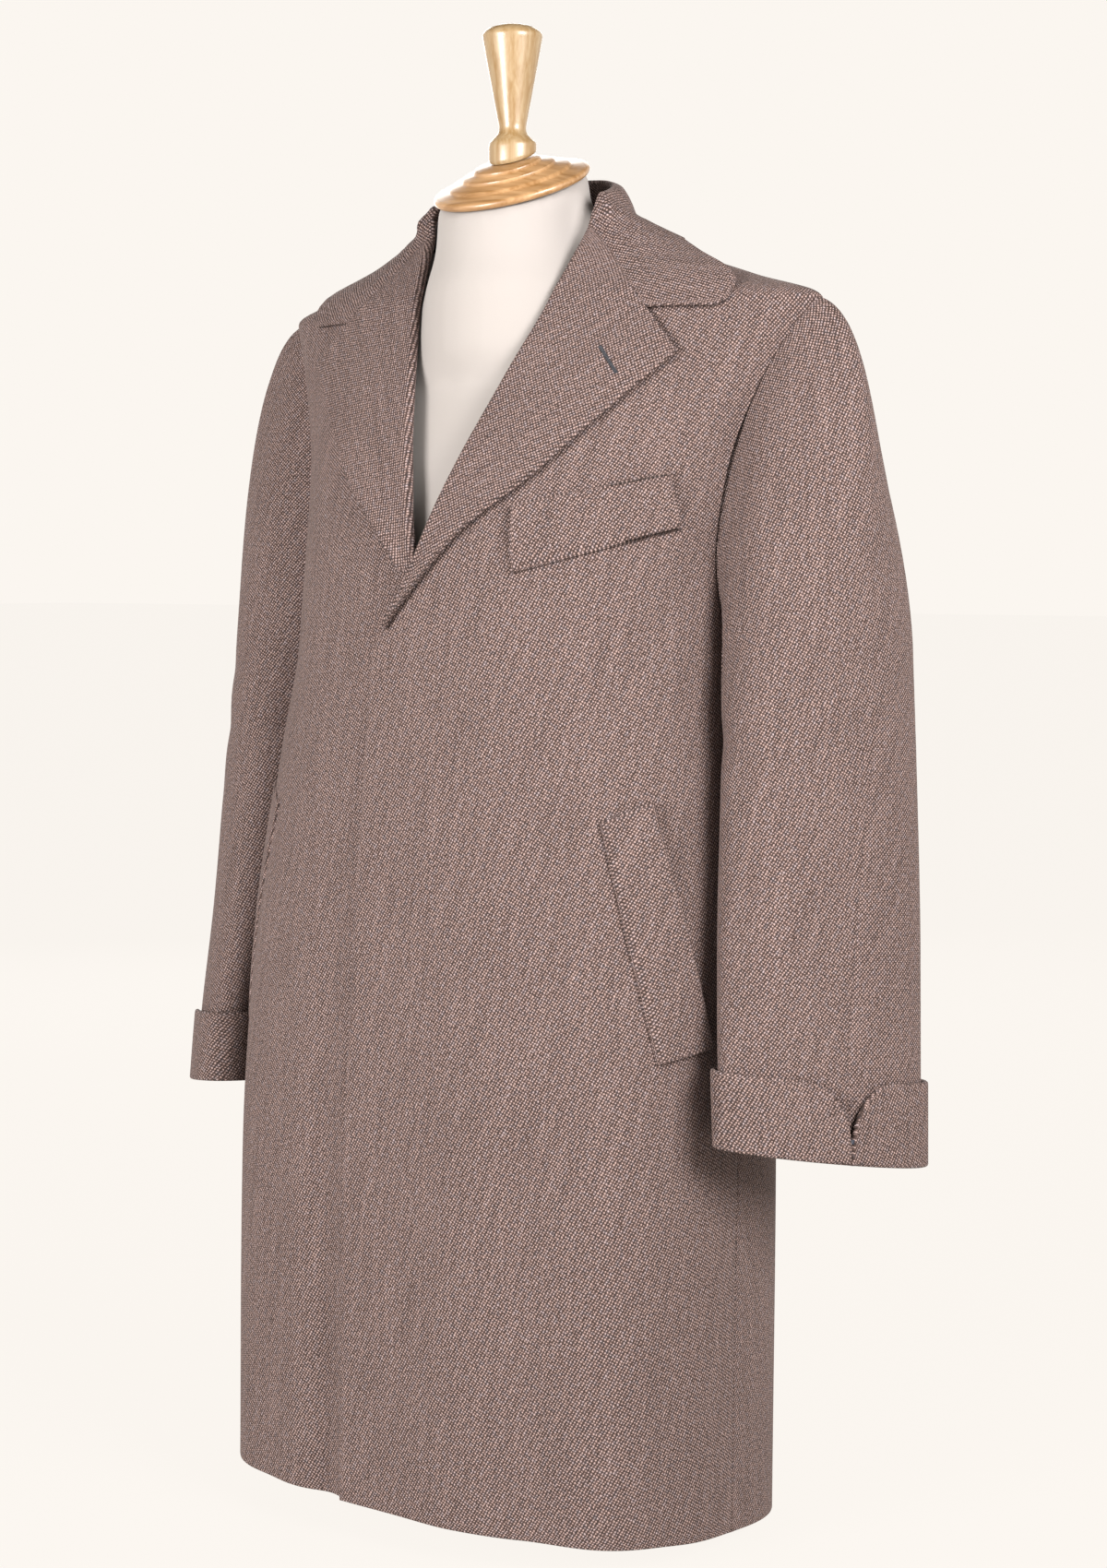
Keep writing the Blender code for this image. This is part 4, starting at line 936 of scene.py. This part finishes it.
def makeCuffs():
    wrist = sleeves["sections"][0]
    hind = wrist[sleeves["columns"].index("hindSeam")]
    turns = np.linspace(hind, hind + 360, cuffs["columns"])
    foot = sleeveSection(wrist[0], turns)
    walk = np.pad(np.cumsum(np.linalg.norm(np.diff(foot, axis=0), axis=1)), (1, 0))
    fromEnd = np.minimum(walk, walk[-1] - walk)
    short = np.clip(1 - fromEnd / cuffs["cornerWide"], 0, 1)
    tall = cuffs["height"] - cuffs["cornerTall"] * (1 - np.sqrt(1 - short**2))
    shares = np.linspace(0, 1, cuffs["rows"])[:, None]
    sheet = []
    for z in wrist[0] + shares * tall:
        sheet.append([sleeveSection(level, np.array([turn]))[0] for level, turn in zip(z, turns)])
    sheet = np.array(sheet)
    out = gridNormals(sheet)
    out[..., 2] = 0.0
    out = unit(out)
    out *= np.sign(np.sum(out * (sheet - sheet.mean(axis=(0, 1)))))
    lift = cuffs["cornerLift"] * shares * smoothStep(1 - fromEnd / cuffs["cornerWide"])
    middle = sheet + out * (cuffs["gap"] + coatBody["folded"] / 2 + lift)[..., None]
    up = shares * tall
    weave = np.stack([np.broadcast_to(walk, up.shape), up], axis=-1)
    if np.sum(gridNormals(middle) * out) < 0:
        middle, weave = middle[:, ::-1], flipped(weave)
    for side in ("left", "right"):
        grid, pattern = middle, weave
        if side == "right":
            grid, pattern = mirrored(middle), flipped(weave)
        piece = clothWall(side + "CuffCloth", grid, pattern, coatBody["folded"], (woolCloth,))
        finishCloth(piece, side + "_cuff")


makeSleeves()
makeCuffs()
print("sleeves and cuffs set in")


collar = {
    "fall": ((-13.0, 0.890), (0.0, 0.936), (45.0, 0.944), (90.0, 0.948)),  # outer edge: plan angle, height
    # share of the way to the back, then the fold's height over the seam and how far it leans outwards
    "stand": ((0.0, 0.0), (0.20, 0.007), (0.45, 0.016), (0.75, 0.024), (1.0, 0.027)),
    "lean": ((0.0, 0.0), (0.25, -0.002), (0.6, -0.004), (1.0, -0.001)),
    "standRows": (0.35, 0.75),
    "rollTurns": (-90, -55, -25, 5, 90),  # degrees round the lapel's roll, a row each
    "rollShare": 0.3,  # the roll and the swell fade in over this share
    "seamOut": 0.0046,
    "turnOut": 0.0052,
    "turnDown": 0.0015,
    "swell": 0.0050,  # how far the leaf stands off a straight fall
    "knee": (0.0, 0.018, -0.014),
    "neckHoleY": 0.010,
    "clear": 0.0022,
    "flushShare": 0.35,  # flush with the lapel at the front, then clear of the shoulder
    "ridgeClear": 0.0024,
    "ridgeAngle": math.radians(30),
    "clearPasses": 4,
    "seamSteps": (8, 16),  # up the roll line, then round the neck
    "sewnRows": 10,  # from the neck seam to the notch
    "stations": 25,
    "leafRows": 13,
    "finer": 4,
    "tipRound": 0.011,
    "thick": 0.0034,
    "flat": (0.52, 0.125),
    "area": 0.0365,
    "held": "folded",
    "restsOn": ["back", "left_front", "right_front"],
}


def neckEdge(count):
    upSteps, roundSteps = collar["seamSteps"]
    z = np.linspace(lapels["gorgeZ"], coatBody["neck"], upSteps)
    front = panelPoints("front", acrossCurve(fronts["rollLine"], z), collar["seamOut"])
    turns = np.linspace(0.0, math.pi / 2, roundSteps)
    rear = bodyPoint(turns, coatBody["neck"]) + bodyNormal(turns, coatBody["neck"]) * collar["seamOut"]
    path = np.concatenate([front[:-1], rear])
    walk = np.pad(np.cumsum(np.linalg.norm(np.diff(path, axis=0), axis=1)), (1, 0))
    stops = np.linspace(0, walk[-1], count)
    return np.stack([np.interp(stops, walk, path[:, i]) for i in range(3)], axis=-1)


def lieClear(points, clearance):  # moves what lies too close out from the body
    points = points.copy()
    for _ in range(collar["clearPasses"]):
        z = np.minimum(points[..., 2], coatBody["neck"])
        angle = np.arctan2(points[..., 1] - bodyAt("sideY", z), points[..., 0])
        normal = bodyNormal(angle, z)
        height = np.sum((points - bodyPoint(angle, z)) * normal, axis=-1)
        ridge = 1 - smoothStep(np.abs(angle) / collar["ridgeAngle"])
        short = np.maximum(0.0, clearance + collar["ridgeClear"] * ridge - height)
        short[points[..., 2] > coatBody["neck"]] = 0.0
        points += normal * short[..., None]
    return points


def collarHalf():
    share = np.linspace(0, 1, collar["stations"])
    high = coatBody["cloth"] + coatBody["laidGap"] + coatBody["folded"] - collar["thick"] / 2
    lay = high + collar["clear"] * smoothStep(share / collar["flushShare"])
    seam = neckEdge(collar["stations"])
    away = seam - np.array([0.0, collar["neckHoleY"], 0.0])
    away[:, 2] = 0.0
    away = unit(away)
    up = np.array([0.0, 0.0, 1.0])
    rise = smoothCurve(collar["stand"], 1, share)[:, None] * up
    lean = smoothCurve(collar["lean"], 1, share)[:, None]
    fold = seam + rise + away * lean
    over = fold + away * collar["turnOut"] - up * collar["turnDown"]
    stand = [seam + (rise + away * lean) * part for part in collar["standRows"]]
    rows = [seam + up * coatBody["seamGap"], *stand, fold, over]
    # the front end is rolled exactly as the lapel below it
    z = lapels["gorgeZ"]
    foot = acrossCurve(fronts["rollLine"], np.array([z]))[0]
    low = coatBody["cloth"] / 2
    reach = (high - low) / 2
    fadeIn = smoothStep(share / collar["rollShare"])
    for i, turn in enumerate(np.radians(collar["rollTurns"])):
        place = np.array([[foot[0] - reach * math.cos(turn), z]])
        out = (low + high) / 2 + reach * math.sin(turn) + frontLift("left", place[None])[0]
        rolled = panelPoints("front", place, out)
        rows[i] = rows[i] + (1 - fadeIn[:, None]) * (rolled[0] - rows[i][0])
    over = rows[-1]
    turn = np.radians(np.linspace(collar["fall"][0][0], collar["fall"][-1][0], collar["stations"]))
    fallZ = smoothCurve(collar["fall"], 1, np.degrees(turn))
    edge = bodyPoint(turn, fallZ) + bodyNormal(turn, fallZ) * lay[:, None]
    gorge = np.linspace(np.array([foot[0], z]), notchPattern(), collar["leafRows"])
    gorge = panelPoints("front", gorge, high + frontLift("left", gorge[None])[0])
    tipX = bodyPoint(turn[0], fallZ[0])[0]
    tip = np.array([girthAt("front", tipX, fallZ[0])[0], fallZ[0]])
    free = np.linspace(notchPattern(), tip, collar["leafRows"])
    free = panelPoints("front", free, lay[0] + frontLift("left", free[None])[0])
    walk = np.concatenate([gorge, free[1:]])
    frontEnd = resample(walk, gorge[-1], collar["leafRows"])
    down = np.linspace(0, 1, collar["leafRows"])[:, None]
    knee = over[-1] + np.array(collar["knee"])
    centreBack = (1 - down) ** 2 * over[-1] + 2 * down * (1 - down) * knee + down**2 * edge[-1]
    leaf = coons(frontEnd, centreBack, over, edge)
    fadeOut = smoothStep((1 - share) / collar["rollShare"])
    swell = collar["swell"] * np.sin(math.pi * down) * fadeIn * fadeOut
    leaf += swell[..., None] * unit(away + up)
    leaf[1:] = lieClear(leaf, lay)[1:]
    return np.concatenate([np.stack(rows[:-1]), leaf])


def resample(path, corner, count):  # even steps along a path that keep its one corner
    walk = np.pad(np.cumsum(np.linalg.norm(np.diff(path, axis=0), axis=1)), (1, 0))
    bend = walk[int(np.argmin(np.linalg.norm(path - corner, axis=1)))]
    first = max(2, int(round(bend / walk[-1] * (count - 1))))
    stops = np.concatenate([np.linspace(0, bend, first + 1), np.linspace(bend, walk[-1], count - first)[1:]])
    return np.stack([np.interp(stops, walk, path[:, i]) for i in range(3)], axis=-1)


def makeCollar():
    half = collarHalf()
    surface = np.concatenate([half, mirrored(half)[:, 1:]], axis=1)
    for axis in (0, 1):
        steps = (surface.shape[axis] - 1) * collar["finer"]
        surface = splineAlong(surface, np.linspace(0, surface.shape[axis] - 1, steps + 1), axis)
    for column in (0, -1):
        surface = roundCorner(surface, collar["tipRound"], column)
    weave = flatPattern(surface)
    gorge = collar["sewnRows"] * collar["finer"]
    sewn = (np.s_[:gorge, 0], np.s_[:gorge, -1], np.s_[0])
    piece = clothWall("collarCloth", surface, weave, collar["thick"], (woolCloth,), sewn)
    finishCloth(piece, "collar")


def splineAlong(grid, places, axis):  # passes a smooth curve through the rows or columns of a grid
    grid = np.moveaxis(grid, axis, 0)
    last = len(grid) - 1
    i = np.minimum(places.astype(int), last - 1)
    t = (places - i)[:, None, None]
    before, start, end, after = (grid[np.clip(i + k, 0, last)] for k in (-1, 0, 1, 2))
    curve = hermite(t, start, (end - before) / 2, end, (after - start) / 2)
    return np.moveaxis(curve, 0, axis)


makeCollar()
print("collar sewn on")


sewing = {
    "buttonhole": ((0.8595, 0.112), (0.8405, 0.128)),  # ends on the left lapel: height, distance across
    "stitches": 26,
    "stitchLong": 0.0034,
    "stitchThick": 0.0006,
    "rings": 7,  # of a strand, and its sides
    "sides": 6,
    "blunt": 1.02,  # a little over 1 leaves a strand's ends open enough to cap
    "arch": 0.6,  # its middle stands out by this many thicknesses
    "tackUp": 0.017,  # above the sleeve's foot
    "tackWide": 0.0075,
    "tackStrands": 4,
    "strandPitch": 1.3,  # in thicknesses
    "twist": 0.5,  # mm
    "shade": "#0d0e11",
    "buttonholeColour": "#2c2c32",
    "tackColour": "#1e2033",
}


# mercerised cotton thread: dark, with a slight shine and a fine twist
def makeThread(name, colour):
    material, tree, shader = newMaterial(name)
    place = addNode(tree, "ShaderNodeTexCoord").outputs["Object"]
    twist = addNode(tree, "ShaderNodeTexNoise", Vector=place, Scale=1000 / sewing["twist"], Detail=2.0)
    ramp = addNode(tree, "ShaderNodeValToRGB", i0=twist.outputs[0])
    ramp.color_ramp.elements[0].color = linear(sewing["shade"])
    ramp.color_ramp.elements[1].color = linear(colour)
    setSockets(tree, shader, Base_Color=ramp.outputs[0], Roughness=0.5)
    return material


def stitchRun(name, centres, ways, normals, long, thick, material):  # arched strands, joined in one mesh
    rings, around = sewing["rings"], sewing["sides"]
    share = np.linspace(-1, 1, rings)
    turns = np.linspace(0, 2 * math.pi, around, endpoint=False)
    points, faces = [], []
    for centre, way, normal in zip(centres, ways, normals):
        side = np.cross(way, normal)
        base = len(points)
        for step in share:
            radius = thick * math.sqrt(sewing["blunt"] - step * step)
            spine = centre + way * step * long / 2 + normal * thick * (sewing["arch"] - step * step)
            points += [spine + radius * (math.cos(t) * side + math.sin(t) * normal) for t in turns]
        for ring in range(rings - 1):
            for k in range(around):
                a, b = base + ring * around + k, base + ring * around + (k + 1) % around
                faces.append((a, a + around, b + around, b))
        faces.append(tuple(base + k for k in range(around)))
        faces.append(tuple(base + (rings - 1) * around + k for k in reversed(range(around))))
    mesh = bpy.data.meshes.new(name)
    mesh.from_pydata([tuple(p + np.array([0, 0, coatBody["lift"]])) for p in points], [], faces)
    mesh.materials.append(material)
    mesh.shade_smooth()
    obj = addObject(name, mesh)
    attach(obj, "root")


def onSheet(grid, rows, columns):  # points between the rows and columns of a sheet
    i, j = rows.astype(int), columns.astype(int)
    u, v = (rows - i)[:, None], (columns - j)[:, None]
    lower = (1 - v) * grid[i, j] + v * grid[i, j + 1]
    upper = (1 - v) * grid[i + 1, j] + v * grid[i + 1, j + 1]
    return (1 - u) * lower + u * upper


def sewDetails():
    ends = []
    for z, across in sewing["buttonhole"]:
        away = np.linalg.norm(lapelPattern - np.array([girthAt("front", across, z)[0], z]), axis=-1)
        ends.append(np.unravel_index(np.argmin(away), away.shape))
    rows, columns = np.linspace(ends[0], ends[1], sewing["stitches"]).T
    normals = unit(onSheet(gridNormals(lapelSheet), rows, columns))
    centres = onSheet(lapelSheet, rows, columns) + normals * lapels["thick"] / 2
    along = unit(np.gradient(centres, axis=0))
    ways = unit(np.cross(normals, along))
    thread = makeThread("buttonholeThread", sewing["buttonholeColour"])
    stitchRun("lapelButtonhole", centres, ways, normals, sewing["stitchLong"], sewing["stitchThick"], thread)
    navy = makeThread("tackThread", sewing["tackColour"])
    foot = sleeves["sections"][0]
    hind = foot[sleeves["columns"].index("hindSeam")]
    for side, flip in (("left", np.array([1.0, 1.0, 1.0])), ("right", np.array([-1.0, 1.0, 1.0]))):
        near = sleeveSection(foot[0] + sewing["tackUp"], np.array([hind - 1, hind, hind + 1]))
        way = unit(near[2] - near[0])
        normal = unit(np.cross(np.array([0.0, 0.0, 1.0]), way))
        normal *= np.sign(normal @ (near[1] - np.array([foot[1], foot[2], near[1][2]])))
        centre = near[1] + normal * (cuffs["gap"] + coatBody["folded"])
        strands = np.arange(sewing["tackStrands"]) - (sewing["tackStrands"] - 1) / 2
        strands = strands * sewing["stitchThick"] * sewing["strandPitch"]
        spots = np.array([centre + np.array([0.0, 0.0, up]) for up in strands]) * flip
        ways = np.tile(way * flip, (len(strands), 1))
        normals = np.tile(normal * flip, (len(strands), 1))
        stitchRun(side + "CuffTack", spots, ways, normals, sewing["tackWide"], sewing["stitchThick"], navy)


sewDetails()
print("buttonhole and tacks sewn")


form = {
    "node": "form_torso",
    "voxel": 0.0045,
    "passes": 14,  # of smoothing
    "smoothing": 0.5,
    "colour": "#908985",
    "shade": "#8b847e",
    "thread": 0.9,  # mm, the cover's fine jersey
    "cloud": 111.1,  # mm, faint unevenness
}


# cotton jersey stretched on the form: smooth off-white with a barely seen knit
def makeFormCover():
    material, tree, shader = newMaterial("formJersey")
    place = addNode(tree, "ShaderNodeTexCoord").outputs["Object"]
    knit = addNode(tree, "ShaderNodeTexVoronoi", Vector=place, Scale=1000 / form["thread"])
    cloud = addNode(tree, "ShaderNodeTexNoise", Vector=place, Scale=1000 / form["cloud"], Detail=3.0)
    ramp = addNode(tree, "ShaderNodeValToRGB", i0=cloud.outputs[0])
    ramp.color_ramp.elements[0].color = linear(form["shade"])
    ramp.color_ramp.elements[1].color = linear(form["colour"])
    bump = addNode(tree, "ShaderNodeBump", Strength=0.12, Distance=0.0003, Height=knit.outputs["Distance"])
    setSockets(tree, shader, Base_Color=ramp.outputs[0], Roughness=0.8)
    setSockets(tree, shader, Normal=bump.outputs[0], Sheen_Weight=0.1)
    return material


def makeForm():
    obj = addObject("formTorsoCover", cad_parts[form["node"]].data.copy())
    selectOnly(obj)
    weld = obj.modifiers.new("weld", "WELD")
    weld.merge_threshold = weldWithin
    remesh = obj.modifiers.new("remesh", "REMESH")
    remesh.mode = "VOXEL"
    remesh.voxel_size = form["voxel"]
    smooth = obj.modifiers.new("smooth", "SMOOTH")
    smooth.factor = form["smoothing"]
    smooth.iterations = form["passes"]
    for modifier in ("weld", "remesh", "smooth"):
        bpy.ops.object.modifier_apply(modifier=modifier)
    obj.data.materials.clear()
    obj.data.materials.append(makeFormCover())
    obj.data.shade_smooth()
    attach(obj, "root")
    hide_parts(form["node"])


# varnished pine: honey streaks along the grain under a satin coat
def makePine(name, grain, light, dark):  # grain: mm of a streak along x, y and z
    material, tree, shader = newMaterial(name)
    place = addNode(tree, "ShaderNodeTexCoord").outputs["Object"]
    stretch = addNode(tree, "ShaderNodeMapping", Vector=place)
    stretch.inputs["Scale"].default_value = [1000 / long for long in grain]
    streak = stretch.outputs[0]
    rings = addNode(tree, "ShaderNodeTexNoise", Vector=streak, Scale=1.0, Detail=4.0, Distortion=0.6)
    pores = addNode(tree, "ShaderNodeTexNoise", Vector=streak, Scale=5.0, Detail=2.0)  # a fifth of a streak
    faint = {"i0": pores.outputs[0], "i1": 0.3, "i2": -0.15}
    mixed = addNode(tree, "ShaderNodeMath", {"operation": "MULTIPLY_ADD"}, **faint)
    tones = {"i0": rings.outputs[0], "i1": mixed.outputs[0]}
    grainTone = addNode(tree, "ShaderNodeMath", {"operation": "ADD"}, **tones)
    ramp = addNode(tree, "ShaderNodeValToRGB", i0=grainTone.outputs[0])
    ramp.color_ramp.elements[0].position = 0.30
    ramp.color_ramp.elements[0].color = linear(dark)
    ramp.color_ramp.elements[1].position = 0.66
    ramp.color_ramp.elements[1].color = linear(light)
    bump = addNode(tree, "ShaderNodeBump", Strength=0.08, Distance=0.0004, Height=grainTone.outputs[0])
    setSockets(
        tree, shader, Base_Color=ramp.outputs[0], Roughness=0.38, Normal=bump.outputs[0],
        Coat_Weight=0.35, Coat_Roughness=0.22,
    )
    return material


turnery = {
    "neckTop": (0.0, 0.005, 1.0003),
    "tilt": math.radians(22.5),
    "segments": 96,
    "sharpFrom": math.radians(40),
    "cap": (  # radius, height over the neck: rim, then shallow turned steps
        (0.0, 0.0), (0.0582, 0.0), (0.0596, 0.0012), (0.0600, 0.0026), (0.0598, 0.0042), (0.0588, 0.0054),
        (0.0565, 0.0060), (0.0478, 0.0076), (0.0470, 0.0082), (0.0464, 0.0098), (0.0450, 0.0106),
        (0.0366, 0.0120), (0.0358, 0.0126), (0.0352, 0.0144), (0.0338, 0.0152), (0.0268, 0.0162),
        (0.0260, 0.0168), (0.0254, 0.0186), (0.0240, 0.0194), (0.0, 0.0208),
    ),
    "finialFoot": 0.0227,
    "finial": (
        (0.0, 0.0), (0.0166, 0.0), (0.0178, 0.0012), (0.0180, 0.0028), (0.0180, 0.0088), (0.0177, 0.0104),
        (0.0166, 0.0118), (0.0118, 0.0166), (0.0106, 0.0190), (0.0102, 0.0215), (0.0104, 0.0240),
        (0.0148, 0.0470), (0.0190, 0.0690), (0.0222, 0.0866), (0.0226, 0.0888), (0.0224, 0.0904),
        (0.0214, 0.0922), (0.0176, 0.0952), (0.0110, 0.0974), (0.0, 0.0983),
    ),
    "footSlopeEnds": 0.012,
    "capGrain": (71.43, 6.25, 8.333),
    "capColours": ("#9f7b55", "#7b5730"),  # light and dark streaks
    "finialGrain": (4.5455, 4.5455, 83.33),
    "finialColours": ("#8f795a", "#795c35"),
}


def turnProfile(name, profile, material):
    mesh = bpy.data.meshes.new(name)
    mesh.from_pydata([(r, 0.0, h) for r, h in profile], [(i, i + 1) for i in range(len(profile) - 1)], [])
    obj = addObject(name, mesh)
    selectOnly(obj)
    bpy.ops.object.mode_set(mode="EDIT")
    bpy.ops.mesh.select_all(action="SELECT")
    bpy.ops.mesh.spin(steps=turnery["segments"], angle=2 * math.pi, center=(0, 0, 0), axis=(0, 0, 1))
    bpy.ops.mesh.select_all(action="SELECT")
    bpy.ops.mesh.remove_doubles(threshold=weldWithin)
    bpy.ops.mesh.normals_make_consistent(inside=False)
    bpy.ops.object.mode_set(mode="OBJECT")
    mesh.materials.append(material)
    bpy.ops.object.shade_smooth_by_angle(angle=turnery["sharpFrom"])
    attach(obj, "root")
    return obj


def makeTurnery():
    capWood = makePine("pineCap", turnery["capGrain"], *turnery["capColours"])
    cap = turnProfile("turnedCap", turnery["cap"], capWood)
    place = Matrix.Translation(turnery["neckTop"]) @ Matrix.Rotation(turnery["tilt"], 4, "X")
    cap.data.transform(place)
    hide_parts("neck_cap")
    finialWood = makePine("pineFinial", turnery["finialGrain"], *turnery["finialColours"])
    finial = turnProfile("turnedFinial", turnery["finial"], finialWood)
    slope = math.tan(turnery["tilt"])  # the finial's foot is cut to sit on the tilted cap
    for vertex in finial.data.vertices:
        near = 1 - min(1.0, vertex.co.z / turnery["footSlopeEnds"])
        vertex.co.z += turnery["neckTop"][2] + turnery["finialFoot"] + vertex.co.y * slope * near
        vertex.co.y += turnery["neckTop"][1]
    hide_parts("finial")


# black stove enamel on the steel pole and base: hard, with soft dust
enamel = {"dark": "#1b1b1c", "dusty": "#2f2f31", "dust": 22.22}  # dust in mm


def makeSteel():
    material, tree, shader = newMaterial("paintedSteel")
    place = addNode(tree, "ShaderNodeTexCoord").outputs["Object"]
    dust = addNode(tree, "ShaderNodeTexNoise", Vector=place, Scale=1000 / enamel["dust"], Detail=5.0)
    ramp = addNode(tree, "ShaderNodeValToRGB", i0=dust.outputs[0])
    ramp.color_ramp.elements[0].color = linear(enamel["dark"])
    ramp.color_ramp.elements[1].color = linear(enamel["dusty"])
    setSockets(tree, shader, Base_Color=ramp.outputs[0], Roughness=0.4, Coat_Weight=0.2)
    for node in ("pole", "base"):
        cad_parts[node].material_slots[0].material = material


makeForm()
makeTurnery()
makeSteel()
print("form, cap and finial in place")


view = {
    "azimuth": 36.0,
    "distance": 2.25,
    "height": 0.727,
    "picture": (1200, 1700),  # the pixels that the next three values count in
    "focal": 3214.0,
    "horizon": 600.0,
    "axisX": 552.0,  # where the neck's axis falls
    "sensor": 36.0,  # mm
}


def placeCamera():
    data = bpy.data.cameras.new("camera")
    data.sensor_fit = "VERTICAL"
    wide, tall = view["picture"]
    data.sensor_height = view["sensor"]
    data.lens = view["focal"] / tall * view["sensor"]
    camera = addObject("camera", data)
    azimuth, distance = math.radians(view["azimuth"]), view["distance"]
    camera.location = (math.sin(azimuth) * distance, -math.cos(azimuth) * distance, view["height"])
    pitch = math.atan((tall / 2 - view["horizon"]) / view["focal"])
    yaw = math.atan((wide / 2 - view["axisX"]) / view["focal"])
    camera.rotation_euler = (math.pi / 2 - pitch, 0.0, azimuth - yaw)
    bpy.context.scene.camera = camera


studio = {
    "backdrop": "#fbf6f0",
    "overhead": 0.06,  # the ceiling is dimmer than the walls
    "dimming": (0.25, 0.75),  # sine of the height where it starts and ends
    "floor": "#262524",  # so dark that no shadow shows; its own glow makes it pale
    "floorGlow": 0.972,
    "floorSize": 60.0,
    "lights": (
        # name, place, aim, size, watts
        ("key", (-0.40, -2.57, 0.95), (0.0, 0.0, 0.70), 1.1, 122.0),
        ("side", (2.34, -0.66, 1.55), (0.0, 0.0, 0.75), 1.2, 132.0),
        ("back", (-2.0, 2.2, 1.5), (0.0, 0.0, 0.70), 2.0, 60.0),
    ),
}


def lightStudio():
    scene = bpy.context.scene
    scene.view_settings.view_transform = "Standard"
    world = bpy.data.worlds.new("studio")
    scene.world = world
    world.use_nodes = True
    tree = world.node_tree
    way = addNode(tree, "ShaderNodeTexCoord").outputs["Generated"]
    height = addNode(tree, "ShaderNodeSeparateXYZ", Vector=way).outputs["Z"]
    glow = addNode(tree, "ShaderNodeMapRange", {"interpolation_type": "SMOOTHSTEP"}, Value=height)
    start, end = studio["dimming"]
    setSockets(tree, glow, From_Min=start, From_Max=end, To_Min=1.0, To_Max=studio["overhead"])
    setSockets(tree, tree.nodes["Background"], Color=linear(studio["backdrop"]), Strength=glow.outputs[0])
    for name, place, aim, size, watts in studio["lights"]:
        data = bpy.data.lights.new(name, "AREA")
        data.size = size
        data.energy = watts
        light = addObject(name, data)
        light.location = place
        light.rotation_euler = (Vector(aim) - Vector(place)).to_track_quat("-Z", "Y").to_euler()
    bpy.ops.object.select_all(action="DESELECT")
    bpy.ops.mesh.primitive_plane_add(size=studio["floorSize"], location=(0.0, 0.0, 0.0))
    floor = bpy.context.object
    floor.name = "floor"
    material, tree, shader = newMaterial("paleFloor")
    setSockets(tree, shader, Base_Color=linear(studio["floor"]), Roughness=1.0, Specular_IOR_Level=0.0)
    setSockets(tree, shader, Emission_Color=linear(studio["backdrop"]), Emission_Strength=studio["floorGlow"])
    floor.data.materials.append(material)


placeCamera()
lightStudio()
print("camera and light placed")
